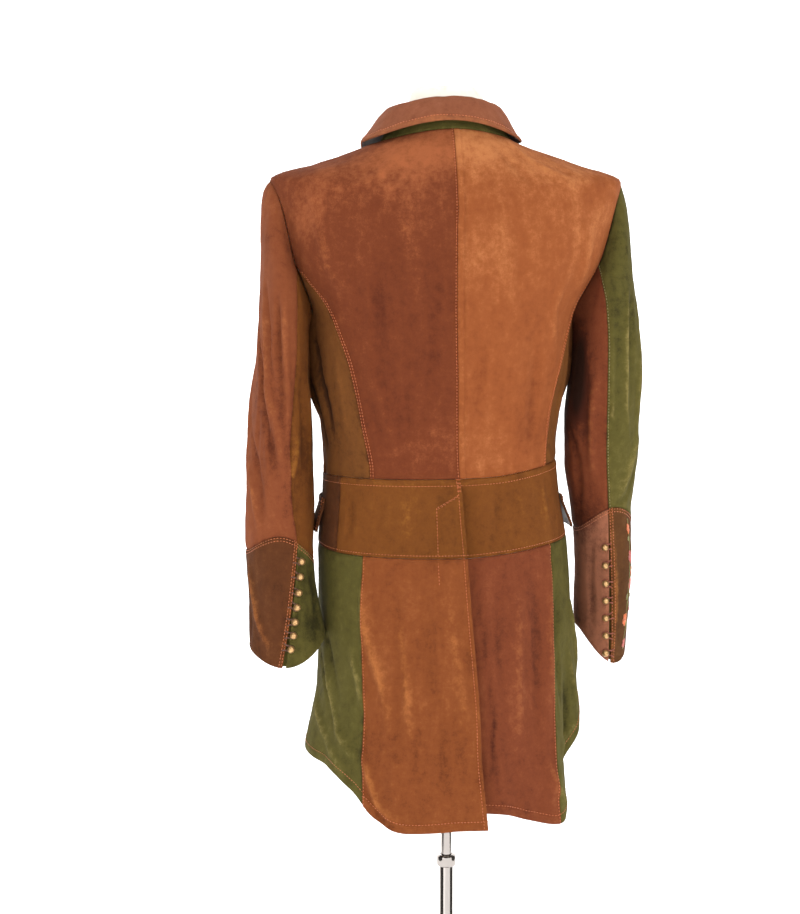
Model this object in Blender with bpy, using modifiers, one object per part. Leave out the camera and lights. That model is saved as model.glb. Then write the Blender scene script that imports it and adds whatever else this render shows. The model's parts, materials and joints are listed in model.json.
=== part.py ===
"""A patchwork suede coat on a limbless dress form with a telescoping stand.

Metres, +Z up. The origin is on the floor, on the pole's axis. The coat's front faces -Y and
the wearer's left is +X. A bearing is an angle round the body in degrees: 0 is the centre
back, 90 the wearer's left side, 180 the centre front and -90 the wearer's right side.
A level is a height up the back; above the armholes its rings climb over the shoulders.
"""
import math

import bmesh
import bpy
from mathutils import Vector

LEATHER = 0.002
SEAM_GAP = 0.0003
HALF_GAP = SEAM_GAP / 2
UNDERLAP_GAP = 0.0017
UNDERLAP_LEATHER = 0.0015
UNDERLAP_REACH = 12
LAP_LIFT = 0.0028
BUTTON_RADIUS = 0.0041

# The armhole is an oval on the body's surface, read by the same angle as the sleeve:
# 0 is the shoulder point, 90 the back, 180 the underarm and 270 the front.
ARMHOLE_MIDDLE = 1.26
ARMHOLE_HALF_HEIGHT = 0.07
ARMHOLE_BACK_REACH = 13.5
ARMHOLE_FRONT_REACH = 18.0
ARMHOLE_STEP = 18
PRINCESS_JOIN = 108
SLEEVE_BACK_SEAM = 108.0
SLEEVE_FRONT_SEAM = -126.0

SHOULDER_LEVEL = ARMHOLE_MIDDLE + ARMHOLE_HALF_HEIGHT
UNDERARM_LEVEL = ARMHOLE_MIDDLE - ARMHOLE_HALF_HEIGHT
NECK_LEVEL = 1.407
TOP_NORMAL_LEVEL = NECK_LEVEL - 0.0006
WAIST_LEVEL = 1.005

FORM_BOTTOM = 0.865
FORM_CLEARANCE = 0.006
SHOULDER_CLEARANCE = 0.0008
FORM_BORE_TOP = 0.93
NECK_SHIFT = 0.002
POLE_RADIUS = 0.0066
POLE_BOTTOM = 0.17
TUBE_RADIUS = 0.0083
TUBE_WALL = 0.001
TUBE_TOP = 0.5135
RING_RADIUS = 0.0119
RING_HEIGHT = 0.0145
BASE_RADIUS = 0.19
BASE_HEIGHT = 0.012
HUB_RADIUS = 0.028
HUB_HEIGHT = 0.04
BORE_CLEARANCE = 0.0004
ROUND_SIDES = 28

RUST = (0.27, 0.085, 0.040, 1.0)
TAN = (0.42, 0.155, 0.060, 1.0)
OLIVE_TAN = (0.22, 0.085, 0.025, 1.0)
OLD_GOLD = (0.23, 0.090, 0.018, 1.0)
GREEN = (0.095, 0.095, 0.025, 1.0)
DARK_BROWN = (0.105, 0.042, 0.018, 1.0)
MAUVE = (0.20, 0.085, 0.055, 1.0)
AMBER = (0.36, 0.125, 0.048, 1.0)
BRASS = (0.62, 0.42, 0.18, 1.0)
CHROME = (0.80, 0.80, 0.82, 1.0)
FORM_CLOTH = (0.86, 0.84, 0.80, 1.0)

BODY_COLUMNS = ("level", "z_back", "z_side", "z_front", "half_width", "back_depth",
                "front_depth", "fullness", "shift")
BODY_ROWS = (
    (0.560, 0.560, 0.560, 0.560, 0.1760, 0.172, 0.160, 2.2, 0.0040),
    (0.671, 0.671, 0.671, 0.671, 0.1680, 0.160, 0.150, 2.2, 0.0050),
    (0.745, 0.745, 0.745, 0.745, 0.1580, 0.146, 0.138, 2.2, 0.0010),
    (0.857, 0.857, 0.857, 0.857, 0.1520, 0.128, 0.124, 2.3, 0.0040),
    (0.912, 0.912, 0.912, 0.912, 0.1500, 0.118, 0.116, 2.3, 0.0055),
    (0.985, 0.985, 0.985, 0.985, 0.1417, 0.107, 0.108, 2.3, 0.0090),
    (1.0215, 1.0215, 1.0215, 1.0215, 0.1393, 0.104, 0.107, 2.3, 0.0097),
    (1.076, 1.076, 1.076, 1.076, 0.1435, 0.108, 0.113, 2.3, 0.0100),
    (1.130, 1.130, 1.130, 1.130, 0.1490, 0.115, 0.121, 2.4, 0.0090),
    (1.190, 1.190, 1.190, 1.190, 0.1560, 0.121, 0.127, 2.4, 0.0070),
    (1.250, 1.245, 1.262, 1.240, 0.1900, 0.124, 0.122, 2.4, 0.0050),
    (1.300, 1.295, 1.320, 1.285, 0.2050, 0.120, 0.112, 2.3, 0.0030),
    (1.330, 1.323, 1.348, 1.300, 0.2100, 0.114, 0.103, 2.2, 0.0020),
    (1.370, 1.370, 1.3715, 1.325, 0.1440, 0.095, 0.092, 2.1, 0.0020),
    (1.407, 1.407, 1.3955, 1.345, 0.0780, 0.070, 0.082, 2.0, 0.0020),
)

# The collar stands on the neck seam, rolls over at the crest and falls to its edge.
COLLAR_ROWS = (
    (0.000, 1.4073, 1.3958, 1.3453, 0.0780, 0.0700, 0.082, 2.0, 0.0020),
    (0.018, 1.4250, 1.4140, 1.3600, 0.0690, 0.0625, 0.077, 2.0, 0.0035),
    (0.034, 1.4405, 1.4300, 1.3720, 0.0620, 0.0560, 0.074, 2.0, 0.0050),
)
FALL_ROWS = (
    (0.000, 1.4432, 1.4332, 1.3756, 0.0605, 0.0545, 0.0725, 2.0, 0.0050),
    (0.007, 1.4448, 1.4348, 1.3770, 0.0660, 0.0600, 0.0790, 2.0, 0.0055),
    (0.015, 1.4410, 1.4290, 1.3710, 0.0730, 0.0670, 0.0870, 2.0, 0.0060),
    (0.030, 1.4290, 1.4110, 1.3500, 0.0850, 0.0770, 0.1000, 2.0, 0.0070),
    (0.046, 1.4165, 1.3950, 1.3250, 0.0960, 0.0855, 0.1100, 2.0, 0.0080),
)

LEVEL_COLUMNS = ("bearing", "level")
WAIST_SEAM_ROWS = ((-190, 1.008), (-90, 1.018), (-69, 1.0165), (-49, 1.011), (-26, 1.0055),
                   (0, 1.004), (70, 1.0035), (110, 1.001), (190, 1.008))
BAND_SEAM_ROWS = ((-190, 0.918), (-90, 0.928), (-57, 0.9235), (-27, 0.9165), (0, 0.913),
                  (60, 0.9145), (90, 0.917), (190, 0.918))
HEM_LEFT_ROWS = ((-14, 0.606), (1, 0.606), (20, 0.602), (28, 0.606), (38, 0.620), (48, 0.645),
                 (60, 0.662), (90, 0.671), (120, 0.678), (150, 0.690), (190, 0.698))
HEM_RIGHT_ROWS = ((-190, 0.698), (-150, 0.706), (-120, 0.720), (-90, 0.724), (-75, 0.703),
                  (-60, 0.662), (-47, 0.614), (-37, 0.604), (-27, 0.611), (-14, 0.622),
                  (14, 0.626))

SEAM_COLUMNS = ("level", "bearing")
CENTRE_EDGE_ROWS = ((0.56, -9.5), (0.61, -8.7), (0.76, -6.0), (0.917, -5.2), (0.985, -5.2),
                    (1.005, -4.3), (1.096, -2.6), (1.21, 0.8), (1.30, 2.0), (1.407, 2.0))
PRINCESS_LEFT_ROWS = ((0.90, 48.0), (1.007, 48.5), (1.054, 51.5), (1.13, 55.5), (1.17, 61.0),
                      (1.207, 67.8), (1.2384, 77.2))
PRINCESS_RIGHT_ROWS = ((0.90, 60.5), (1.017, 61.5), (1.11, 63.5), (1.13, 65.5), (1.187, 71.5),
                       (1.226, 75.0), (1.2384, 77.2))
SKIRT_SEAM_LEFT_ROWS = ((0.56, 41.0), (0.635, 42.4), (0.77, 48.5), (0.93, 50.5))
SKIRT_SEAM_RIGHT_ROWS = ((0.56, 37.6), (0.638, 39.2), (0.79, 46.6), (0.93, 56.5))
BAND_FOLD = {1: 66.5, -1: 88.0}
SIDE_FRONT_SEAM = 126.0
FRONT_EDGE = 185.0
FRONT_COLUMNS = 7
BACK_COLUMNS = 6
UNDER_EDGE = 6.5
FRONT_BUTTON_LINE = 171.0
FRONT_BUTTON_LEVELS = (0.958, 1.045, 1.13, 1.215, 1.30)
CUFF_BUTTON_SPAN = {1: (0.15, 0.84), -1: (0.27, 0.95)}
CUFF_BUTTON_OFFSET = {1: 3.5, -1: 6.5}
FLAP_TOP = 0.974
FLAP_FOOT = 0.934
FLAP_BACK_EDGE = 80.0
FLAP_FRONT_EDGE = 126.0
FLAP_GAP = 0.0010
FLAP_STAND_OFF = 0.006

# A fold of the skirt: its bearing, half its width, how far it stands out at the hem (or in,
# where negative), the level where it starts and how far its foot leans round the body.
FOLD_COLUMNS = ("bearing", "half_width", "reach", "start", "lean")
FOLD_ROWS = (
    (-165, 12, 0.006, 0.88, 0),
    (-146, 10, -0.007, 0.86, 3),
    (-126, 13, 0.009, 0.88, -3),
    (-106, 10, -0.008, 0.85, 2),
    (-86, 15, 0.004, 0.87, 0),
    (-61, 12, -0.025, 0.86, 3),
    (-41, 10, 0.013, 0.88, 2),
    (-21, 8, -0.005, 0.84, -1),
    (14, 9, -0.003, 0.80, 2),
    (29, 8, 0.006, 0.82, -2),
    (47, 9, -0.004, 0.80, -3),
    (64, 9, -0.007, 0.78, 3),
    (82, 11, 0.004, 0.75, 2),
    (102, 11, -0.009, 0.84, 0),
    (122, 12, 0.008, 0.86, 3),
    (143, 11, -0.008, 0.87, -2),
    (163, 12, 0.006, 0.88, 0),
)
HEM_DEPTH_LEVEL = 0.60

# Sleeve rings, at a distance down the sleeve from the armhole. x is measured from the
# pole's axis, and seam is the sleeve angle of the back seam.
SLEEVE_COLUMNS = ("level", "x_out", "x_in", "y_mid", "half_y", "z_out", "z_back", "z_in",
                  "z_front", "seam")
SLEEVE_LEFT_ROWS = (
    (0.018, 0.2200, 0.1668, 0.000, 0.058, 1.331, 1.254, 1.177, 1.250, 110),
    (0.058, 0.2238, 0.1680, 0.000, 0.067, 1.291, 1.224, 1.150, 1.221, 114),
    (0.115, 0.2249, 0.1690, 0.000, 0.071, 1.225, 1.170, 1.112, 1.170, 113),
    (0.185, 0.2292, 0.1690, 0.000, 0.069, 1.148, 1.108, 1.062, 1.106, 107),
    (0.275, 0.2385, 0.1664, 0.004, 0.064, 1.045, 1.031, 1.006, 1.027, 102),
    (0.345, 0.2423, 0.1632, 0.012, 0.059, 0.971, 0.968, 0.953, 0.958, 106),
    (0.395, 0.2438, 0.1642, 0.020, 0.055, 0.915, 0.936, 0.902, 0.897, 115),
    (0.465, 0.2417, 0.1602, 0.033, 0.050, 0.858, 0.858, 0.857, 0.855, 100),
    (0.545, 0.2414, 0.1525, 0.045, 0.045, 0.799, 0.785, 0.815, 0.811, 79),
)
SLEEVE_RIGHT_ROWS = (
    (0.018, 0.2135, 0.1535, 0.000, 0.058, 1.331, 1.254, 1.177, 1.250, 107),
    (0.058, 0.2188, 0.1540, 0.000, 0.067, 1.291, 1.224, 1.150, 1.221, 105),
    (0.115, 0.2240, 0.1535, 0.000, 0.071, 1.225, 1.170, 1.112, 1.170, 104),
    (0.185, 0.2318, 0.1495, 0.000, 0.069, 1.148, 1.108, 1.062, 1.106, 104),
    (0.275, 0.2338, 0.1494, -0.003, 0.064, 1.045, 1.034, 1.008, 1.028, 103),
    (0.335, 0.2301, 0.1555, -0.006, 0.059, 0.980, 0.985, 0.970, 0.965, 101),
    (0.375, 0.2275, 0.1595, -0.008, 0.056, 0.942, 0.960, 0.931, 0.920, 99),
    (0.455, 0.2284, 0.1620, -0.011, 0.052, 0.860, 0.863, 0.870, 0.860, 94),
    (0.530, 0.2234, 0.1636, -0.014, 0.048, 0.778, 0.770, 0.807, 0.808, 87),
)
CREASE_COLUMNS = ("side", "angle", "half_width", "depth", "start", "end")
SLEEVE_CREASES = (
    (1, 60, 10, 0.0035, 0.10, 0.36),
    (1, 38, 9, -0.0025, 0.12, 0.34),
    (-1, 40, 10, 0.0025, 0.10, 0.34),
)


class SectionTable:
    """Rows of named columns, read at any level by a smooth curve that never overshoots."""

    def __init__(self, columns, rows):
        self.columns = columns
        self.keys = [row[0] for row in rows]
        self.values = [[row[index] for row in rows] for index in range(len(columns))]
        self.slopes = [self.curve_slopes(values) for values in self.values]

    def curve_slopes(self, values):
        steps = [b - a for a, b in zip(self.keys, self.keys[1:])]
        rises = [(b - a) / step for a, b, step in zip(values, values[1:], steps)]
        slopes = [rises[0]]
        for index in range(1, len(rises)):
            before, after = rises[index - 1], rises[index]
            if before * after <= 0.0:
                slopes.append(0.0)
                continue
            weight_before = 2 * steps[index] + steps[index - 1]
            weight_after = steps[index] + 2 * steps[index - 1]
            total = weight_before + weight_after
            slopes.append(total / (weight_before / before + weight_after / after))
        slopes.append(rises[-1])
        return slopes

    def read(self, name, key):
        column = self.columns.index(name)
        last = len(self.keys) - 2
        index = max(0, min(last, sum(1 for item in self.keys if item <= key) - 1))
        start = self.keys[index]
        step = self.keys[index + 1] - start
        part = max(0.0, min(1.0, (key - start) / step))
        values, slopes = self.values[column], self.slopes[column]
        return hermite(values[index], values[index + 1], slopes[index] * step,
                       slopes[index + 1] * step, part)


def hermite(start, end, leave, arrive, part):
    """A cubic between two values, with the slopes it leaves and arrives with."""
    square, cube = part * part, part * part * part
    return ((2 * cube - 3 * square + 1) * start + (cube - 2 * square + part) * leave
            + (3 * square - 2 * cube) * end + (cube - square) * arrive)


def smooth_step(low, high, value):
    part = max(0.0, min(1.0, (value - low) / (high - low)))
    return part * part * (3 - 2 * part)


BODY = SectionTable(BODY_COLUMNS, BODY_ROWS)
COLLAR = SectionTable(BODY_COLUMNS, COLLAR_ROWS)
FALL = SectionTable(BODY_COLUMNS, FALL_ROWS)
WAIST_SEAM = SectionTable(LEVEL_COLUMNS, WAIST_SEAM_ROWS)
BAND_SEAM = SectionTable(LEVEL_COLUMNS, BAND_SEAM_ROWS)
HEM = {1: SectionTable(LEVEL_COLUMNS, HEM_LEFT_ROWS),
       -1: SectionTable(LEVEL_COLUMNS, HEM_RIGHT_ROWS)}
CENTRE_EDGE = SectionTable(SEAM_COLUMNS, CENTRE_EDGE_ROWS)
PRINCESS = {1: SectionTable(SEAM_COLUMNS, PRINCESS_LEFT_ROWS),
            -1: SectionTable(SEAM_COLUMNS, PRINCESS_RIGHT_ROWS)}
SKIRT_SEAM = {1: SectionTable(SEAM_COLUMNS, SKIRT_SEAM_LEFT_ROWS),
              -1: SectionTable(SEAM_COLUMNS, SKIRT_SEAM_RIGHT_ROWS)}
SLEEVE_ROWS = {1: SLEEVE_LEFT_ROWS, -1: SLEEVE_RIGHT_ROWS}
SLEEVE = {side: SectionTable(SLEEVE_COLUMNS, rows) for side, rows in SLEEVE_ROWS.items()}
SIDE_NAMES = {1: "left", -1: "right"}
CUFF_TOP = {1: SLEEVE_LEFT_ROWS[6][0], -1: SLEEVE_RIGHT_ROWS[6][0]}
CUFF_HEM = {1: SLEEVE_LEFT_ROWS[8][0], -1: SLEEVE_RIGHT_ROWS[8][0]}


def ring_point(table, bearing, level):
    """A point of an oval ring round the body, read from a section table."""
    angle = math.radians(bearing)
    sine, cosine = math.sin(angle), math.cos(angle)
    end = "back" if cosine > 0 else "front"
    fullness = table.read("fullness", level)
    across = abs(sine / table.read("half_width", level)) ** fullness
    along = abs(cosine / table.read(end + "_depth", level)) ** fullness
    radius = (across + along) ** (-1 / fullness)
    side = table.read("z_side", level)
    height = side + (table.read("z_" + end, level) - side) * cosine * cosine
    return Vector((radius * sine + table.read("shift", level), radius * cosine, height))


def fold_reach(bearing, level):
    """How far the skirt's folds move its surface out at this place."""
    reach = 0.0
    for row in FOLD_ROWS:
        fold = dict(zip(FOLD_COLUMNS, row))
        if level >= fold["start"]:
            continue
        part = min(1.2, (fold["start"] - level) / (fold["start"] - HEM_DEPTH_LEVEL))
        away = (bearing - fold["bearing"] - fold["lean"] * part + 180) % 360 - 180
        if abs(away) < fold["half_width"]:
            across = 0.5 + 0.5 * math.cos(math.pi * away / fold["half_width"])
            reach += fold["reach"] * part ** 1.4 * across
    return reach


def body_point(bearing, level):
    point = ring_point(BODY, bearing, level)
    reach = fold_reach(bearing, level)
    angle = math.radians(bearing)
    return point + Vector((math.sin(angle), math.cos(angle), 0.0)) * reach


def surface_normal(surface, first, second, first_step, second_step):
    """The outward normal, where the first direction turns to the left and the second climbs."""
    along = surface(first + first_step, second) - surface(first - first_step, second)
    up = surface(first, second + second_step) - surface(first, second - second_step)
    return up.cross(along).normalized()


def body_normal(bearing, level):
    return surface_normal(body_point, bearing, min(level, TOP_NORMAL_LEVEL), 0.5, 0.0005)


def armhole_bearing(side, angle):
    sine = math.sin(math.radians(angle))
    reach = ARMHOLE_BACK_REACH if sine > 0 else ARMHOLE_FRONT_REACH
    return side * (90 - reach * sine)


def armhole_level(angle):
    return ARMHOLE_MIDDLE + ARMHOLE_HALF_HEIGHT * math.cos(math.radians(angle))


def armhole_point(side, angle):
    return body_point(armhole_bearing(side, angle), armhole_level(angle))


def into_armhole(side, angle):
    """The direction along the body's surface that points into the armhole."""
    normal = body_normal(armhole_bearing(side, angle), armhole_level(angle))
    run = armhole_point(side, angle + 1) - armhole_point(side, angle - 1)
    inward = normal.cross(run).normalized()
    middle = body_point(side * 90, ARMHOLE_MIDDLE)
    return inward if inward.dot(middle - armhole_point(side, angle)) > 0 else -inward


def sleeve_ring_point(side, row, angle):
    """A point of one ring of the sleeve's table."""
    _, x_out, x_in, y_mid, half_y, z_out, z_back, z_in, z_front, _ = row
    sine, cosine = math.sin(math.radians(angle)), math.cos(math.radians(angle))
    z_mid = (z_out + z_in) / 2
    z_end = z_back if sine > 0 else z_front
    return Vector((side * ((x_out + x_in) / 2 + (x_out - x_in) / 2 * cosine),
                   y_mid + half_y * sine,
                   z_mid + (z_out - z_in) / 2 * cosine + (z_end - z_mid) * sine * sine))


def crease_reach(side, angle, level):
    reach = 0.0
    for row in SLEEVE_CREASES:
        crease = dict(zip(CREASE_COLUMNS, row))
        away = (angle - crease["angle"] + 180) % 360 - 180
        along = (level - crease["start"]) / (crease["end"] - crease["start"])
        if crease["side"] == side and abs(away) < crease["half_width"] and 0 < along < 1:
            across = 0.5 + 0.5 * math.cos(math.pi * away / crease["half_width"])
            reach += crease["depth"] * math.sin(math.pi * along) * across
    return reach


def sleeve_point(side, angle, level):
    """A point of the sleeve: a smooth curve from the armhole through the table's rings."""
    start = armhole_point(side, angle) + into_armhole(side, angle) * HALF_GAP
    rings = [(0.0, start)]
    rings += [(row[0], sleeve_ring_point(side, row, angle)) for row in SLEEVE_ROWS[side]]
    rows = [(key, point.x, point.y, point.z) for key, point in rings]
    curve = SectionTable(("level", "x", "y", "z"), rows)
    point = Vector((curve.read("x", level), curve.read("y", level), curve.read("z", level)))
    reach = crease_reach(side, angle, level)
    turn = math.radians(angle)
    return point + Vector((side * math.cos(turn), math.sin(turn), 0.0)) * reach


def sleeve_normal(side, angle, level):
    """The sleeve's outward normal; at the armhole it never leans back over the body's wall."""
    inside = max(0.002, min(level, SLEEVE_ROWS[side][-1][0] - 0.001))

    def surface(first, second):
        return sleeve_point(side, first, second)

    normal = surface_normal(surface, angle, inside, 1.0, 0.001) * side
    if level < 0.001:
        inward = into_armhole(side, angle)
        inner = -normal
        inner -= inward * min(0.0, inner.dot(inward))
        normal = -inner.normalized()
    return normal


def pull_edges(points, sides):
    """Move a grid's edges in by half a seam's gap; sides names the edges that meet a seam."""
    last_row, last_column = len(points) - 1, len(points[0]) - 1
    moved = [[point.copy() for point in row] for row in points]
    for row in range(last_row + 1):
        for column in range(last_column + 1):
            here = points[row][column]
            below = points[max(0, row - 1)][column]
            above = points[min(last_row, row + 1)][column]
            before = points[row][max(0, column - 1)]
            after = points[row][min(last_column, column + 1)]
            climb = (above - below).normalized()
            cross = (after - before).normalized()
            lean = max(0.3, cross.cross(climb).length)
            if column == 0 and "first" in sides:
                moved[row][column] += (after - here).normalized() * HALF_GAP / lean
            if column == last_column and "last" in sides:
                moved[row][column] += (before - here).normalized() * HALF_GAP / lean
            if row == 0 and "bottom" in sides:
                moved[row][column] += (above - here).normalized() * HALF_GAP / lean
            if row == last_row and "top" in sides:
                moved[row][column] += (below - here).normalized() * HALF_GAP / lean
    return moved


def add_object(name, mesh, colour, roughness, metallic):
    """Link a mesh to the part's collection with a material of its own."""
    material = bpy.data.materials.new(name + "_finish")
    material.use_nodes = True
    shader = material.node_tree.nodes["Principled BSDF"]
    shader.inputs["Base Color"].default_value = colour
    shader.inputs["Roughness"].default_value = roughness
    shader.inputs["Metallic"].default_value = metallic
    material.diffuse_color = colour
    mesh.materials.append(material)
    item = bpy.data.objects.new(name, mesh)
    bpy.data.collections["suede_coat"].objects.link(item)
    return item


def finish_mesh(name, vertices, faces, sharp_angle=40):
    mesh = bpy.data.meshes.new(name)
    mesh.from_pydata(vertices, [], faces)
    work = bmesh.new()
    work.from_mesh(mesh)
    bmesh.ops.recalc_face_normals(work, faces=work.faces)
    bmesh.ops.triangulate(work, faces=work.faces)
    work.to_mesh(mesh)
    work.free()
    mesh.shade_smooth()
    mesh.set_sharp_from_angle(angle=math.radians(sharp_angle))
    return mesh


def cloth_wall(name, points, normals, colour, thickness=LEATHER):
    """A closed wall: the outer grid, the same grid moved in by the thickness, and the rim."""
    rows, columns = len(points), len(points[0])
    outer = [point for row in points for point in row]
    inner = [point - normal * thickness
             for row, row_normals in zip(points, normals)
             for point, normal in zip(row, row_normals)]
    half = rows * columns
    faces = []
    for row in range(rows - 1):
        for column in range(columns - 1):
            corner = row * columns + column
            quad = (corner, corner + 1, corner + columns + 1, corner + columns)
            faces.append(quad)
            faces.append(tuple(half + index for index in reversed(quad)))
    rim = list(range(columns))
    rim += [row * columns + columns - 1 for row in range(1, rows)]
    rim += [(rows - 1) * columns + column for column in range(columns - 2, -1, -1)]
    rim += [row * columns for row in range(rows - 2, 0, -1)]
    for start, end in zip(rim, rim[1:] + rim[:1]):
        faces.append((start, start + half, end + half, end))
    return add_object(name, finish_mesh(name, outer + inner, faces), colour, 0.85, 0.0)


def spread(start, end, count):
    return [start + (end - start) * index / count for index in range(count + 1)]


def body_panel(name, rows, columns, low, high, level, colour, sides, lift=None):
    """A wall on the body's surface between two seams that may change from row to row."""
    def surface(bearing, height):
        point = body_point(bearing, height)
        if lift is None:
            return point
        return point + body_normal(bearing, height) * lift(bearing, height)

    points, normals = [], []
    for row in rows:
        bearings = spread(low(row), high(row), columns)
        places = [(bearing, level(row, bearing)) for bearing in bearings]
        points.append([surface(bearing, height) for bearing, height in places])
        normals.append([surface_normal(surface, bearing, min(height, TOP_NORMAL_LEVEL), 0.5, 0.0005)
                        for bearing, height in places])
    return cloth_wall(name, pull_edges(points, sides), normals, colour)


def bodice_level(row, bearing):
    """A bodice row's level; the lowest rows follow the waist seam, which isn't level."""
    fade = 1 - smooth_step(WAIST_LEVEL, 1.12, row)
    return row + (WAIST_SEAM.read("level", bearing) - WAIST_LEVEL) * fade


def bodice_rows():
    lower = spread(WAIST_LEVEL, UNDERARM_LEVEL, 4)[:-1]
    armhole = [armhole_level(angle) for angle in range(180, -1, -ARMHOLE_STEP)]
    shoulder = spread(SHOULDER_LEVEL, NECK_LEVEL, 4)[1:]
    return lower + armhole + shoulder


def armhole_edge(side, level, front):
    """The bearing of the armhole's edge at a level, or the side seam above and below it."""
    offset = (level - ARMHOLE_MIDDLE) / ARMHOLE_HALF_HEIGHT
    if abs(offset) >= 1:
        return side * 90.0
    reach = ARMHOLE_FRONT_REACH if front else -ARMHOLE_BACK_REACH
    return side * (90 + reach * math.sqrt(1 - offset * offset))


def front_lift(bearing, level):
    """The right front laps over the left one."""
    start = 150 + 10 * smooth_step(1.30, 1.40, level)
    return LAP_LIFT * smooth_step(start, start + 15, abs(bearing))


def back_lap_lift(bearing, level):
    """Below the top of the waistband the left back laps over the right one, as a vent."""
    near_edge = 1 - smooth_step(13, 26, bearing)
    below_seam = 1 - smooth_step(0.985, 1.003, level)
    open_foot = 0.0035 * smooth_step(0.88, 0.62, level) * (1 - smooth_step(-10, 6, bearing))
    return LAP_LIFT * near_edge * below_seam + open_foot


def build_bodice():
    rows = bodice_rows()
    join_level = armhole_level(PRINCESS_JOIN)
    side_rows = [row for row in rows if row < join_level - 0.001] + [join_level - 0.0012]
    colours = {1: RUST, -1: TAN}
    front_colours = {1: TAN, -1: RUST}

    def centre_edge(row):
        return CENTRE_EDGE.read("bearing", row)

    for side, name in SIDE_NAMES.items():
        def back_high(row, side=side):
            if row > join_level - 0.0005:
                return armhole_edge(side, row, False)
            return side * PRINCESS[side].read("bearing", row)

        def side_low(row, side=side):
            return side * PRINCESS[side].read("bearing", row)

        def side_high(row, side=side):
            return armhole_edge(side, row, False)

        def front_low(row, side=side):
            return armhole_edge(side, row, True)

        def front_high(_row, side=side):
            return side * FRONT_EDGE

        body_panel("bodice_back_" + name, rows, BACK_COLUMNS, centre_edge, back_high,
                   bodice_level, colours[side], ("first", "last", "bottom", "top"))
        body_panel("bodice_side_" + name, side_rows, 3, side_low, side_high, bodice_level,
                   OLIVE_TAN, ("first", "last", "bottom", "top"))
        body_panel("bodice_front_" + name, rows, FRONT_COLUMNS, front_low, front_high,
                   bodice_level, front_colours[side], ("first", "bottom", "top"),
                   front_lift if side < 0 else None)


def build_waistband():
    """Four pieces between the waist seam and the skirt seam; rows run down from 0 to 1."""
    rows = [1.0, 0.62, 0.36, 0.20, 0.0]

    def level(row, bearing):
        top = WAIST_SEAM.read("level", bearing)
        return top + (BAND_SEAM.read("level", bearing) - top) * row

    def edge(row):
        return CENTRE_EDGE.read("bearing", WAIST_LEVEL - 0.09 * row)

    def right_under_edge(row):
        return edge(row) if row < 0.3 else UNDER_EDGE

    for side, name in SIDE_NAMES.items():
        def fold(_row, side=side):
            return side * BAND_FOLD[side]

        def front_edge(_row, side=side):
            return side * FRONT_EDGE

        body_panel("waistband_back_" + name, rows, 7, edge if side > 0 else right_under_edge,
                   fold, level, OLD_GOLD,
                   ("last", "bottom", "top") + (() if side > 0 else ("first",)),
                   back_lap_lift if side > 0 else None)
        body_panel("waistband_front_" + name, rows, 8, fold, front_edge, level,
                   DARK_BROWN if side > 0 else OLD_GOLD,
                   ("first", "bottom", "top"), front_lift if side < 0 else None)


def build_skirt():
    """Six panels from the waistband to the hem; rows run up from the hem, 1, to the seam, 0."""
    rows = spread(1.0, 0.0, 7)
    for side, name in SIDE_NAMES.items():
        def level(row, bearing, side=side):
            top = BAND_SEAM.read("level", bearing)
            return top + (HEM[side].read("level", bearing) - top) * row

        def nominal(row):
            return 0.918 + (0.61 - 0.918) * row

        def edge(row, side=side):
            return CENTRE_EDGE.read("bearing", nominal(row)) if side > 0 else UNDER_EDGE

        def seam(row, side=side):
            return side * SKIRT_SEAM[side].read("bearing", nominal(row))

        def side_seam(_row, side=side):
            return side * SIDE_FRONT_SEAM

        def front_edge(_row, side=side):
            return side * FRONT_EDGE

        body_panel("skirt_back_" + name, rows, 8, edge, seam, level,
                   AMBER if side > 0 else RUST, ("last", "top"),
                   back_lap_lift if side > 0 else None)
        body_panel("skirt_side_" + name, rows, 11, seam, side_seam, level, GREEN,
                   ("first", "last", "top"))
        body_panel("skirt_front_" + name, rows, 7, side_seam, front_edge, level,
                   RUST if side > 0 else AMBER, ("first", "top"),
                   front_lift if side < 0 else None)


def sleeve_wall(name, side, levels, columns, low, high, colour, sides, sink=0.0,
                thickness=LEATHER):
    """A wall on the sleeve's surface between two sleeve angles."""
    points, normals = [], []
    for level in levels:
        angles = spread(low(level), high(level), columns)
        row_normals = [sleeve_normal(side, angle, level) for angle in angles]
        points.append([sleeve_point(side, angle, level) - normal * sink
                       for angle, normal in zip(angles, row_normals)])
        normals.append(row_normals)
    return cloth_wall(name, pull_edges(points, sides), normals, colour, thickness)


def slit_gap(side, level):
    """Half the cuff slit's opening, as a sleeve angle; it widens towards the hem."""
    part = (level - CUFF_TOP[side]) / (CUFF_HEM[side] - CUFF_TOP[side])
    return 0.5 + 2.2 * max(0.0, part)


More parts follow.
